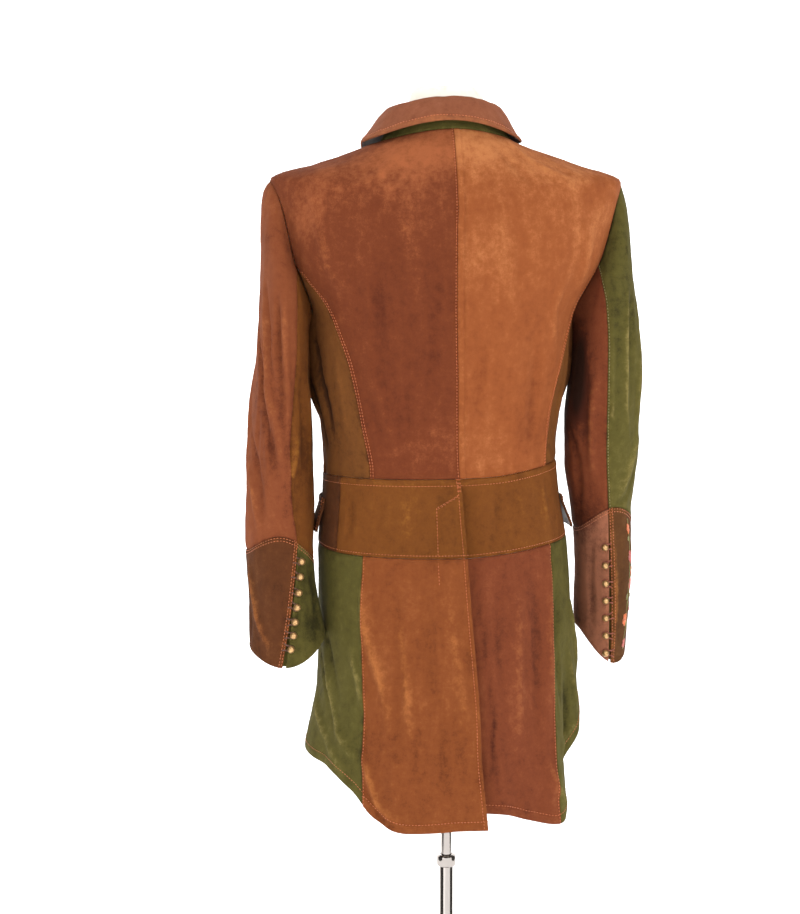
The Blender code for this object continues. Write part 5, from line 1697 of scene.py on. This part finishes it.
@dataclass
class Waistband:
    """The wide waistband in four pieces and its lap over the vent."""

    coat: Coat
    height: float = 0.092

    def build(self) -> None:
        """Cut, crease and dress the four pieces."""
        cutter = PanelCutter(BODY_SURFACE.points, BODY_SURFACE.normals)
        rows = 1 - graded(self.height, GRID_STEP) / self.height
        for side in Side:
            left = side is Side.LEFT
            fold = fixed(side.value * BAND_FOLD[side.value])
            front_edge = fixed(side.value * FRONT_EDGE)
            ends = WAIST_FOOT, WAIST_TOP
            back = cutter.cut("waistband_back_" + side.word, rows, self.edge if left
                else self.under_edge, fold, self.level,
                edges(VENT_EDGE if left else FREE, PLAIN, *ends), back_lap_lift if left
                else back_underlap_sink)
            front = cutter.cut("waistband_front_" + side.word, rows, fold, front_edge, self.level,
                edges(PLAIN, VENT_EDGE, *ends), None if left else front_lift)
            for panel, finish in ((back, Finish.OLD_GOLD),
                    (front, Finish.DARK_BROWN if left else Finish.OLD_GOLD)):
                panel.add_creases(BAND_CREASES, BODY_SURFACE.points)
                self.coat.dress(panel, finish, piece="waistband_stitching")

    def level(self, row: float, bearing: Places) -> Places:
        """Give a row's level between the band's two seams."""
        top = WAIST_SEAM.read("level", bearing)
        return top + (BAND_SEAM.read("level", bearing) - top) * row

    def edge(self, row: float) -> float:
        """Give the bearing of the left piece's free edge."""
        return float(CENTRE_EDGE.read("bearing", WAIST_LEVEL - 0.09 * row))

    def under_edge(self, row: float) -> float:
        """Give the bearing of the right piece's edge, which runs on under the left one."""
        return self.edge(row) if row < 0.02 else self.edge(row) + \
            (UNDER_EDGE - self.edge(row)) * float(smooth_step(0.02, 0.5, np.array(row)))


@dataclass
class Skirt:
    """The six panels below the waistband, with their folds and hems."""

    coat: Coat
    height: float = 0.305

    def build(self) -> None:
        """Cut, crease and dress the six panels."""
        cutter = PanelCutter(BODY_SURFACE.points, BODY_SURFACE.normals, 0.0048)
        rows = 1 - graded(self.height, 0.0056) / self.height
        for side in Side:
            left = side is Side.LEFT

            def level(row: float, bearing: Places, side: Side = side) -> Places:
                """Give a row's level between the hem and the waistband's seam."""
                top = BAND_SEAM.read("level", bearing)
                return top + (HEM[side].read("level", bearing) - top) * row

            def seam(row: float, side: Side = side) -> float:
                """Give the bearing of the seam between back and side panel."""
                return side.value * float(SKIRT_SEAM[side].read("bearing", 0.918 - 0.308 * row))

            def edge(row: float, left: bool = left) -> float:
                """Give the bearing of the back panel's edge at the vent."""
                if not left:
                    return UNDER_EDGE
                return float(CENTRE_EDGE.read("bearing", 0.918 - 0.308 * row))

            side_seam = fixed(side.value * SIDE_FRONT_SEAM)
            front_edge = fixed(side.value * FRONT_EDGE)
            back = cutter.cut("skirt_back_" + side.word, rows, edge, seam, level,
                edges(VENT_EDGE if left else FREE, SKIRT_STITCHED, HEM_EDGE), back_lap_lift if left
                else back_underlap_sink)
            flank = cutter.cut("skirt_side_" + side.word, rows, seam, side_seam, level,
                edges(start=HEM_EDGE))
            front = cutter.cut("skirt_front_" + side.word, rows, side_seam, front_edge, level,
                edges(SKIRT_STITCHED, VENT_EDGE, HEM_EDGE), None if left else front_lift)
            for panel, finish in ((back, Finish.AMBER if left else Finish.RUSSET),
                    (flank, Finish.GREEN), (front, Finish.RUST if left else Finish.AMBER)):
                panel.add_creases(SKIRT_CREASES, BODY_SURFACE.points)
                panel.add_spots(SKIRT_SPOTS, BODY_SURFACE.points)
                self.coat.dress(panel, finish, piece="skirt_stitching_" + side.word)


@dataclass
class VentStitching:
    """The rows of stitches that hold the lap closed above the vent."""

    coat: Coat

    def build(self) -> None:
        """Sew the slanting row, the long row and the bar tack."""
        lines = (("waistband_back_left", ((-2, 0.985), (10, 0.972))),
            ("waistband_back_left", ((-1.6, 0.9834), (9.6, 0.9706))),
            ("waistband_back_left", ((11, 0.97), (11.4, 0.918))),
            ("skirt_back_left", ((11.4, 0.908), (11, 0.885))))
        for name, places in lines:
            panel = self.coat.panels[name]
            path = BODY_SURFACE.points(*smooth_path(places, 30))
            self.coat.work.add("vent_stitching", Finish.THREAD, panel.project(path, 0.00025))
        panel = self.coat.panels["waistband_back_left"]
        for bearing in (-4.2, -3.5, -2.8, -2.1):
            path = BODY_SURFACE.points(np.full(12, bearing), np.linspace(1.0035, 0.99, 12))
            self.coat.work.add("bar_tack", Finish.THREAD, panel.project(path, 0.0006))


@dataclass
class Sleeve:
    """One sleeve: its two halves, the cuff's two halves and the strip behind the slit."""

    coat: Coat
    side: Side
    step: float = 0.004

    def build(self) -> None:
        """Cut, crease and dress the five panels."""
        surface = SleeveSurface(self.side)
        cutter = PanelCutter(surface.points, surface.normals, self.step)
        left = self.side is Side.LEFT
        top, hem = surface.cuff_top, surface.cuff_hem

        def level(row: float, angle: Places) -> Places:
            """Give a row's level, the same all round."""
            return np.full_like(angle, row)

        def back_seam(row: float) -> float:
            """Give the sleeve angle of the back seam."""
            return float(surface.seam(row))

        def slit_outer(row: float) -> float:
            """Give the edge of the cuff's outer half at the slit."""
            return float(surface.seam(row) - surface.slit_gap(row))

        def slit_inner(row: float) -> float:
            """Give the edge of the cuff's inner half at the slit."""
            return float(surface.seam(row) + surface.slit_gap(row))

        def lap_low(row: float) -> float:
            """Give the strip's first edge."""
            return float(surface.seam(row)) - UNDERLAP_REACH

        def lap_high(row: float) -> float:
            """Give the strip's last edge."""
            return float(surface.seam(row)) + UNDERLAP_REACH

        front_seam, under_end = fixed(SLEEVE_FRONT_SEAM), fixed(SLEEVE_FRONT_SEAM + 360)
        rows, cuff_rows = graded(top, self.step), top + graded(hem - top, self.step)
        seam_style = PLAIN if left else SLEEVE_STITCHED
        thread = Finish.THREAD if left else Finish.GREEN_THREAD
        upper = cutter.cut("sleeve_upper_" + self.side.word, rows, front_seam, back_seam, level,
            edges(PLAIN, seam_style))
        under = cutter.cut("sleeve_under_" + self.side.word, rows, back_seam, under_end, level,
            edges())
        hems = CUFF_SEAM, FREE
        outer = cutter.cut("cuff_outer_" + self.side.word, cuff_rows, front_seam, slit_outer,
            level, edges(PLAIN, SLIT_BAND, *hems))
        inner = cutter.cut("cuff_inner_" + self.side.word, cuff_rows, slit_inner, under_end, level,
            edges(FREE, PLAIN, *hems))
        lap_rows = top + 0.004 + graded(hem - top - 0.006, 0.008)
        strip = cutter.cut("cuff_underlap_" + self.side.word, lap_rows, lap_low, lap_high, level,
            edges(FREE, FREE, FREE, FREE), lambda angle, row: np.full_like(angle, -UNDERLAP_SINK),
            UNDERLAP_LEATHER)
        finishes = ((upper, Finish.RUST if left else Finish.GREEN),
            (under, Finish.OLD_GOLD if left else Finish.RUSSET),
            (outer, Finish.DARK_BROWN if left else Finish.UMBER),
            (inner, Finish.GREEN if left else Finish.MAUVE), (strip, Finish.GREEN))
        for panel, finish in finishes:
            if panel is not strip:
                panel.add_creases(SLEEVE_BENDS[self.side], surface.points)
                panel.add_spots(SLEEVE_SPOTS[self.side], surface.points)
            cuff = panel not in (upper, under)
            self.coat.dress(panel, finish, Finish.THREAD if cuff else thread,
                ("cuff" if cuff else "sleeve") + "_stitching_" + self.side.word)


@dataclass
class CollarAndFlaps:
    """The collar's stand and fall, and the two pocket flaps."""

    coat: Coat
    reach: float = 157.86
    steps: int = 96

    def build(self) -> None:
        """Cut and dress the four panels."""
        for name, table, length, finish, end in (
                ("collar_stand", COLLAR, 0.034, Finish.GREEN, FREE),
                ("collar_fall", FALL, 0.046, Finish.COLLAR, COLLAR_EDGE)):
            climb = 1.0 if name == "collar_stand" else -1.0

            def surface(bearing: Places, level: Places, table: SectionTable = table) -> Places:
                """Give places on the collar's rings."""
                return ring_points(table, bearing, level)

            def normals(bearing: Places, level: Places, table: SectionTable = table,
                    climb: float = climb, length: float = length) -> Places:
                """Give the collar's outward normals."""
                inside = np.clip(level, 0.0006, length - 0.0006)
                return climb * surface_normals(
                    lambda first, second: ring_points(table, first, second), bearing, inside,
                    0.5, 0.0005)

            cutter = PanelCutter(surface, normals, 0.005)
            panel = cutter.cut(name, graded(length, 0.003), fixed(-self.reach), fixed(self.reach),
                lambda row, at: np.full_like(at, row), edges(FREE, FREE, FREE, end))
            self.coat.dress(panel, finish, piece="collar_stitching")
        cutter = PanelCutter(BODY_SURFACE.points, BODY_SURFACE.normals, 0.006)
        for side in Side:
            rows = FLAP_FOOT + graded(FLAP_TOP - FLAP_FOOT, 0.006)
            panel = cutter.cut("pocket_flap_" + side.word, rows,
                fixed(side.value * FLAP_BACK_EDGE), fixed(side.value * FLAP_FRONT_EDGE),
                lambda row, at: np.full_like(at, row),
                edges(VENT_EDGE, VENT_EDGE, VENT_EDGE, VENT_EDGE), self.stand_off)
            self.coat.dress(panel, Finish.DARK_BROWN, piece="flap_stitching")

    def stand_off(self, _bearing: Places, level: Places) -> Places:
        """Give how far a flap stands off the waistband."""
        return LEATHER + FLAP_GAP + FLAP_STAND_OFF * smooth_step(-FLAP_TOP, -FLAP_FOOT, -level)


def turned_mesh(name: str, profile: Sequence[tuple[float, float]], closed: bool,
        sides: int) -> Mesh:
    """Turn a profile round the upright axis.

    Args:
        name: The mesh's name.
        profile: Radii and heights; a radius of nothing makes a pole.
        closed: Whether the profile is a loop.
        sides: How many sides the piece has.

    Returns:
        The mesh, with its normals outwards.
    """
    work = bmesh.new()
    rings = []
    for radius, height in profile:
        count = sides if radius > 0 else 1
        rings.append([work.verts.new((radius * math.sin(2 * math.pi * index / count),
            radius * math.cos(2 * math.pi * index / count), height)) for index in range(count)])
    pairs = list(zip(rings, rings[1:] + rings[:1])) if closed else list(zip(rings, rings[1:]))
    for low, high in pairs:
        for index in range(sides):
            after = (index + 1) % sides
            corners = [low[index % len(low)], low[after % len(low)], high[after % len(high)],
                high[index % len(high)]]
            unique = list(dict.fromkeys(corners))
            if len(unique) > 2:
                work.faces.new(unique)
    bmesh.ops.recalc_face_normals(work, faces=work.faces)
    mesh = bpy.data.meshes.new(name)
    work.to_mesh(mesh)
    work.free()
    mesh.shade_smooth()
    mesh.set_sharp_from_angle(angle=math.radians(35))
    return mesh


@dataclass
class BallButtons:
    """Brass balls with leather loops, down each cuff's slit and down the front."""

    coat: Coat
    radius: float = 0.0044
    cord: float = 0.0016

    def build(self) -> None:
        """Set every ball and its loop."""
        tree = build_cord_tree()
        for side in Side:
            loops = [self.ball("cuff_button_%s_%d" % (side.word, number),
                self.coat.panels["cuff_inner_" + side.word],
                self.coat.panels["cuff_outer_" + side.word].outer[:, -1])
                for number in range(1, 8)]
            cord = Finish.CORD if side is Side.LEFT else Finish.RED_CORD
            run_along("cuff_loops_" + side.word, loops, tree, {"Thickness": self.cord, "Sides": 8,
                "Material": cord.material()})
        loops = []
        for number in range(1, 6):
            name = "waistband_front" if number == 1 else "bodice_front"
            loops.append(self.ball("front_button_%d" % number, self.coat.panels[name + "_left"],
                self.coat.panels[name + "_right"].outer[:, -1]))
        run_along("front_loops", loops, tree, {"Thickness": self.cord, "Sides": 8,
            "Material": Finish.CORD.material()})

    def ball(self, node: str, panel: LeatherPanel, edge: Places) -> Places:
        """Set one ball on a panel and draw the loop that holds it.

        Args:
            node: The ball's CAD node.
            panel: The panel that it sits on.
            edge: The places of the edge that its loop comes from.

        Returns:
            The loop's places.
        """
        low, high = (np.array(corner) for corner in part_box(node))
        centre = (low + high) / 2
        outer, normals = panel.outer.reshape(-1, 3), panel.normals.reshape(-1, 3)
        normal = normals[int(np.argmin(np.sum((outer - centre) ** 2, axis=1)))]
        profile = []
        for index in range(15):
            turn = math.pi * index / 14
            grooved = 0.965 if index == 7 else 1.0
            profile.append((self.radius * grooved * math.sin(turn) if 0 < index < 14 else 0.0,
                -self.radius * math.cos(turn)))
        mesh = turned_mesh(node, profile, False, 22)
        turn = Vector((0, 0, 1)).rotation_difference(Vector(normal)).to_matrix().to_4x4()
        turn.translation = Vector(centre)
        mesh.transform(turn)
        mesh.materials.append(Finish.BRASS.material())
        item = add_piece(node + "_ball", mesh)
        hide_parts(node)
        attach(item, "form")
        nearest = edge[int(np.argmin(np.sum((edge - centre) ** 2, axis=1)))]
        across = nearest - centre
        across = across - normal * (across @ normal)
        distance = float(np.linalg.norm(across))
        across = across / max(distance, 1e-9)
        along = np.cross(normal, across)
        rise = -self.radius + 0.0016
        away, reach = max(distance + 0.0034, self.radius * 1.5), self.radius * 0.88
        path = [(away, 0.0046, -0.0022), (distance, 0.003, -0.001)]
        path += [(reach * math.cos(math.radians(turn)), reach * math.sin(math.radians(turn)), 0.0)
            for turn in range(50, 311, 20)]
        path += [(distance, -0.003, -0.001), (away, -0.0046, -0.0022)]
        path = [point for point in path if point[0] >= -reach - 1e-6]
        keys = np.arange(len(path), dtype=float)
        given = np.array(path)
        at = np.linspace(0, len(path) - 1, 48)
        local = np.stack([read_curve(keys, column, monotone_slopes(keys, column), at)
                          for column in given.T], axis=1)
        return (centre + local[:, :1] * across + local[:, 1:2] * along + (local[:, 2:] + rise)
            * normal)


@dataclass
class FlowerSpray:
    """A plain spray of flowers in satin stitch on the right cuff's outer half."""

    panel: LeatherPanel
    surface: SleeveSurface
    petals: int = 5
    strokes: int = 7

    def build(self) -> None:
        """Sew the flowers, the stem and the leaves."""
        tree = build_cord_tree()
        flowers = ((50, 0.396, 0.0056, "orange"), (40, 0.424, 0.0072, "pink"),
            (38, 0.452, 0.0066, "pink"), (54, 0.488, 0.0066, "orange"), (46, 0.514, 0.005, "pink"),
            (16, 0.44, 0.0062, "orange"), (20, 0.48, 0.0058, "pink"),
            (-2, 0.462, 0.0054, "orange"))
        sewn: dict[str, list[Places]] = {"orange": [], "pink": [], "green": []}
        for angle, level, radius, silk in flowers:
            sewn[silk] += self.flower(angle, level, radius)
        stems = (((52, 0.385), (44, 0.41), (42, 0.44), (48, 0.47), (48, 0.52)),
            ((42, 0.44), (30, 0.446), (18, 0.44)), ((48, 0.47), (34, 0.476), (22, 0.48)),
            ((30, 0.45), (12, 0.456), (0, 0.462)))
        for stem in stems:
            path = self.surface.points(*smooth_path(stem, 34))
            sewn["green"].append(self.panel.project(path, 0.0003))
        for angle, level, lean in ((46, 0.404, 40), (36, 0.438, -30), (50, 0.462, 60),
                (42, 0.496, -50), (30, 0.464, 20), (10, 0.448, 200)):
            sewn["green"] += self.leaf(angle, level, lean)
        for silk, finish in (("orange", Finish.ORANGE_SILK), ("pink", Finish.PINK_SILK),
                ("green", Finish.GREEN_SILK)):
            run_along("embroidery_" + silk, sewn[silk], tree, {"Thickness": 0.00072, "Sides": 5,
                "Material": finish.material()})

    def stroke(self, angle: float, level: float, start: tuple[float, float],
            end: tuple[float, float], lift: float) -> Places:
        """Draw one satin stroke.

        Args:
            angle: The sleeve angle of its flower's middle.
            level: The level of its flower's middle.
            start: Where it starts from the middle, across and down, in metres.
            end: Where it ends.
            lift: How high its middle stands.

        Returns:
            The stroke's places.
        """
        part = np.linspace(0.0, 1.0, 5)
        across = start[0] + (end[0] - start[0]) * part
        down = start[1] + (end[1] - start[1]) * part
        places = self.surface.points(angle + across / METRES_A_DEGREE, level + down)
        laid = self.panel.project(places, 0.0002)
        gaps = np.sum((self.panel.outer.reshape(-1, 3) - laid[2]) ** 2, axis=1)
        normal = self.panel.normals.reshape(-1, 3)[int(np.argmin(gaps))]
        return laid + normal * (lift * np.sin(np.pi * part))[:, None]

    def flower(self, angle: float, level: float, radius: float) -> list[Places]:
        """Draw a flower's strokes, petal by petal."""
        strokes = []
        for petal in range(self.petals):
            middle = 2 * math.pi * (petal + 0.3) / self.petals
            for number in range(self.strokes):
                spread = (number - (self.strokes - 1) / 2) / self.strokes
                turn = middle + spread * 2 * math.pi / self.petals * 0.92
                length = radius * (1 - 0.9 * abs(spread) ** 2.0)
                start = (0.0012 * math.cos(turn), 0.0012 * math.sin(turn))
                end = (length * math.cos(turn), length * math.sin(turn))
                strokes.append(self.stroke(angle, level, start, end, 0.0004))
        return strokes

    def leaf(self, angle: float, level: float, lean: float) -> list[Places]:
        """Draw a leaf's strokes, slanting to both sides of its vein."""
        turn = math.radians(lean)
        strokes = []
        for number in range(6):
            along = 0.0011 * number
            wide = 0.0022 * math.sin(math.pi * (number + 0.6) / 6.2)
            for way in (-1, 1):
                start = (along * math.cos(turn), along * math.sin(turn))
                end = (start[0] + 0.0012 * math.cos(turn) - way * wide * math.sin(turn), start[1]
                    + 0.0012 * math.sin(turn) + way * wide * math.cos(turn))
                strokes.append(self.stroke(angle, level, start, end, 0.0002))
        return strokes


@dataclass
class DressForm:
    """The smooth limbless form inside the coat, with its short neck."""

    sides: int = 112
    clearance: float = 0.006
    shoulder_clearance: float = 0.0008
    bore: float = 0.007
    bore_top: float = 0.93
    bottom: float = 0.865
    neck_shift: float = 0.002

    def torso(self, bearing: Places, level: float) -> Places:
        """Give one ring of the torso, inside the leather.

        Args:
            bearing: The ring's bearings.
            level: The ring's level.

        Returns:
            The ring's places.
        """
        at = np.full_like(bearing, level)
        past_side = np.abs(turned_gap(bearing, 0.0)) - 90
        on_shoulder = smooth_step(1.332, 1.348, at) * (1 - smooth_step(1.369, 1.38, at))
        on_shoulder = on_shoulder * (1 - smooth_step(4, 24, np.abs(past_side)))
        in_front = smooth_step(1.3, 1.34, at) * smooth_step(2, 20, past_side)
        gap = self.clearance + (self.shoulder_clearance - self.clearance) * on_shoulder
        gap = gap + self.clearance * in_front + LEATHER
        normals = BODY_SURFACE.normals(bearing, at)
        return ring_points(BODY, bearing, at) - normals * gap[:, None]

    def build(self) -> None:
        """Build the form through its rings and dress it in jersey."""
        bearing = np.linspace(0.0, 360.0, self.sides, endpoint=False)
        angle = np.radians(bearing)

        def oval(width: float, depth: float, height: float, shift: float) -> Places:
            """Give an oval ring."""
            return np.stack((width * np.sin(angle) + shift, depth * np.cos(angle),
                np.full_like(angle, height)), axis=-1)

        foot = self.torso(bearing, 0.872) * (0.96, 0.96, 0.0) + (0.0, 0.0, self.bottom)
        rings = [oval(self.bore, self.bore, self.bore_top, 0.0),
            oval(self.bore, self.bore, self.bottom, 0.0), foot]
        rings += [self.torso(bearing, level) for level in np.linspace(0.872, 1.385, 58)]
        base = ring_points(COLLAR, bearing, np.zeros_like(bearing))
        inward = unit((base - (self.neck_shift, 0.0, 0.0)) * (1.0, 1.0, 0.0))
        given = np.stack([rings[-1], base - inward * 0.013 - (0.0, 0.0, 0.011),
            oval(0.05, 0.045, 1.418, self.neck_shift), oval(0.045, 0.042, 1.44, self.neck_shift),
            oval(0.041, 0.038, 1.453, self.neck_shift),
            oval(0.037, 0.034, 1.458, self.neck_shift)])
        keys = np.arange(len(given), dtype=float)
        slopes = monotone_slopes(keys, given)
        for at in np.linspace(0.25, len(given) - 1.0, 20):
            rings.append(read_curve(keys, given, slopes, np.full(self.sides, at)))
        vertices = np.concatenate(rings)
        count = self.sides
        faces = [tuple(range(count))]
        for row in range(len(rings) - 1):
            for column in range(count):
                start, after = row * count + column, row * count + (column + 1) % count
                faces.append((start, after, after + count, start + count))
        faces.append(tuple(range((len(rings) - 1) * count, len(rings) * count)))
        mesh = bpy.data.meshes.new("form_body")
        mesh.from_pydata(vertices.tolist(), [], faces)
        work = bmesh.new()
        work.from_mesh(mesh)
        bmesh.ops.recalc_face_normals(work, faces=work.faces)
        work.to_mesh(mesh)
        work.free()
        mesh.shade_smooth()
        mesh.set_sharp_from_angle(angle=math.radians(50))
        mesh.materials.append(Finish.JERSEY.material())
        item = add_piece("form_body", mesh)
        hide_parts("dress_form")
        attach(item, "form")
        LOG.info("form_body: %d faces", len(mesh.polygons))


@dataclass
class Stand:
    """The chromed stand: base, hub, outer tube, ring and sliding pole."""

    pole: float = 0.0066
    tube: float = 0.0083
    wall: float = 0.001
    tube_top: float = 0.5135
    base: float = 0.19
    thick: float = 0.012
    gap: float = 0.0003

    def build(self) -> None:
        """Turn the five pieces and chrome them."""
        foot, hole = self.thick + self.gap, self.pole + 0.0004
        mouth, top = self.tube_top + self.gap, self.tube_top + self.gap + 0.0145
        base = [(0.0, self.thick), (0.1, 0.0112), (self.base - 0.012, 0.0094)]
        base += [(self.base - 0.006 + 0.006 * math.sin(turn), 0.003 + 0.006 * math.cos(turn))
            for turn in np.linspace(0.1, math.pi / 2, 6)]
        base += [(self.base - 0.001, 0.0006), (self.base - 0.003, 0.0), (0.0, 0.0)]
        hub_hole, height = self.tube + self.gap, foot + 0.04
        hub = [(hub_hole, height), (self.tube + 0.0042, height),
            (self.tube + 0.005, height - 0.0008)]
        hub += [(self.tube + 0.005 + 0.0147 * part ** 2.4, height - 0.0008 - 0.0332 * part)
            for part in np.linspace(0.1, 1.0, 9)]
        hub += [(0.028, foot + 0.0045), (0.028, foot), (hub_hole, foot)]
        ring = [(hole, top), (0.0089, top), (0.0102, top - 0.0006), (0.0113, top - 0.0018),
            (0.0118, top - 0.0034), (0.0119, top - 0.005), (0.0119, mouth + 0.003),
            (0.0116, mouth + 0.001), (0.0108, mouth), (hole, mouth)]
        pipe = [(self.tube - self.wall, self.tube_top), (self.tube - 0.0002, self.tube_top),
            (self.tube, self.tube_top - 0.0003), (self.tube, foot), (self.tube - self.wall, foot)]
        rod = [(0.0, self.bore_end), (self.pole - 0.0005, self.bore_end),
            (self.pole, self.bore_end - 0.0005), (self.pole, 0.1705), (self.pole - 0.0005, 0.17),
            (0.0, 0.17)]
        for node, profile, closed, body in (("stand_base", base, False, "stand"),
                ("stand_hub", hub, True, "stand"), ("stand_tube", pipe, True, "stand"),
                ("stand_ring", ring, True, "stand"), ("stand_pole", rod, False, "pole")):
            mesh = turned_mesh(node, profile, closed, 96)
            mesh.materials.append(Finish.CHROME.material())
            item = add_piece(node + "_turned", mesh)
            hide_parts(node)
            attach(item, body)
            LOG.info("%s: %d faces", item.name, len(mesh.polygons))

    @property
    def bore_end(self) -> float:
        """The height of the pole's top inside the form."""
        return 0.93 - self.gap


@dataclass
class Studio:
    """The plain pale floor that curves up all round, the soft lights and the camera."""

    floor_radius: float = 3.6
    wall_height: float = 5.0
    lens: float = 78.77

    def build(self) -> None:
        """Build the floor, the lights, the dark side cards and the camera."""
        profile = [(0.0, -0.0005)] + [(radius, -0.0005) for radius in (0.6, 1.2, 2.4, 3.6)]
        profile += [(self.floor_radius + 2.2 * math.sin(turn), 2.2 - 2.2 * math.cos(turn))
            for turn in np.linspace(0.12, math.pi / 2, 12)]
        profile.append((self.floor_radius + 2.2, self.wall_height))
        bowl = turned_mesh("studio_floor", profile, False, 96)
        bowl.flip_normals()
        bowl.materials.append(Finish.BACKDROP.material())
        add_piece("studio_floor", bowl)
        bpy.context.scene.view_settings.view_transform = "Standard"
        bpy.context.scene.view_settings.look = "None"
        world = bpy.context.scene.world or bpy.data.worlds.new("studio")
        bpy.context.scene.world = world
        world.use_nodes = True
        sky = world.node_tree.nodes["Background"]
        sky.inputs["Color"].default_value = (1.0, 1.0, 1.0, 1.0)
        sky.inputs["Strength"].default_value = 0.35
        self.light("key", (-1.15, 2.5, 3.0), (0.0, 0.0, 1.05), (1.5, 1.5), 30.0)
        self.light("fill", (1.9, 2.2, 1.7), (0.0, 0.0, 1.0), (1.6, 2.2), 9.0)
        self.light("top", (0.1, 0.2, 3.3), (0.0, 0.0, 1.2), (1.6, 1.6), 17.0)
        self.light("front", (0.6, -2.9, 2.4), (0.0, 0.0, 1.0), (1.8, 1.8), 20.0)
        for number, across in enumerate((-1.7, 1.7), start=1):
            self.card("dark_card_%d" % number, across)
        camera = bpy.data.cameras.new("photo_view")
        camera.sensor_fit = "VERTICAL"
        camera.sensor_height = 36.0
        camera.lens = self.lens
        camera.clip_end = 60.0
        item = bpy.data.objects.new("photo_view", camera)
        item.location = (0.37544, 2.37045, 1.267)
        look = Vector((-0.13224, -0.98587, -0.10279))
        item.rotation_mode = "QUATERNION"
        item.rotation_quaternion = look.to_track_quat("-Z", "Y")
        bpy.context.scene.collection.objects.link(item)
        bpy.context.scene.camera = item

    def card(self, name: str, across: float) -> None:
        """Stand a dark card beside the set, which only polished metal mirrors."""
        mesh = bpy.data.meshes.new(name)
        corners = [(across, -0.9, 0.0), (across, 1.1, 0.0), (across, 1.1, 2.2),
            (across, -0.9, 2.2)]
        mesh.from_pydata(corners, [], [(0, 1, 2, 3)])
        mesh.materials.append(Finish.CARD.material())
        item = add_piece(name, mesh)
        item.visible_camera = item.visible_diffuse = item.visible_shadow = False

    def light(self, name: str, place: tuple[float, float, float],
            target: tuple[float, float, float], size: tuple[float, float], power: float) -> None:
        """Hang one softbox.

        Args:
            name: The light's name.
            place: Where it hangs.
            target: What it points at.
            size: Its width and height.
            power: Its power in watts.
        """
        lamp = bpy.data.lights.new(name, "AREA")
        lamp.shape = "RECTANGLE"
        lamp.size, lamp.size_y = size
        lamp.energy = power
        item = bpy.data.objects.new(name, lamp)
        item.location = place
        item.rotation_mode = "QUATERNION"
        item.rotation_quaternion = (Vector(target) - Vector(place)).to_track_quat("-Z", "Y")
        item.visible_camera = False
        bpy.context.scene.collection.objects.link(item)


def main() -> None:
    """Build the coat, its form, its stand and the studio, and note the sizes."""
    logging.basicConfig(level=logging.INFO, format="%(name)s %(message)s")
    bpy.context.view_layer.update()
    coat = Coat()
    DressForm().build()
    Stand().build()
    Bodice(coat).build()
    Waistband(coat).build()
    Skirt(coat).build()
    for side in Side:
        Sleeve(coat, side).build()
    CollarAndFlaps(coat).build()
    VentStitching(coat).build()
    BallButtons(coat).build()
    FlowerSpray(coat.panels["cuff_outer_right"], SleeveSurface(Side.RIGHT)).build()
    coat.work.sew()
    Studio().build()


if __name__ == "__main__":
    main()
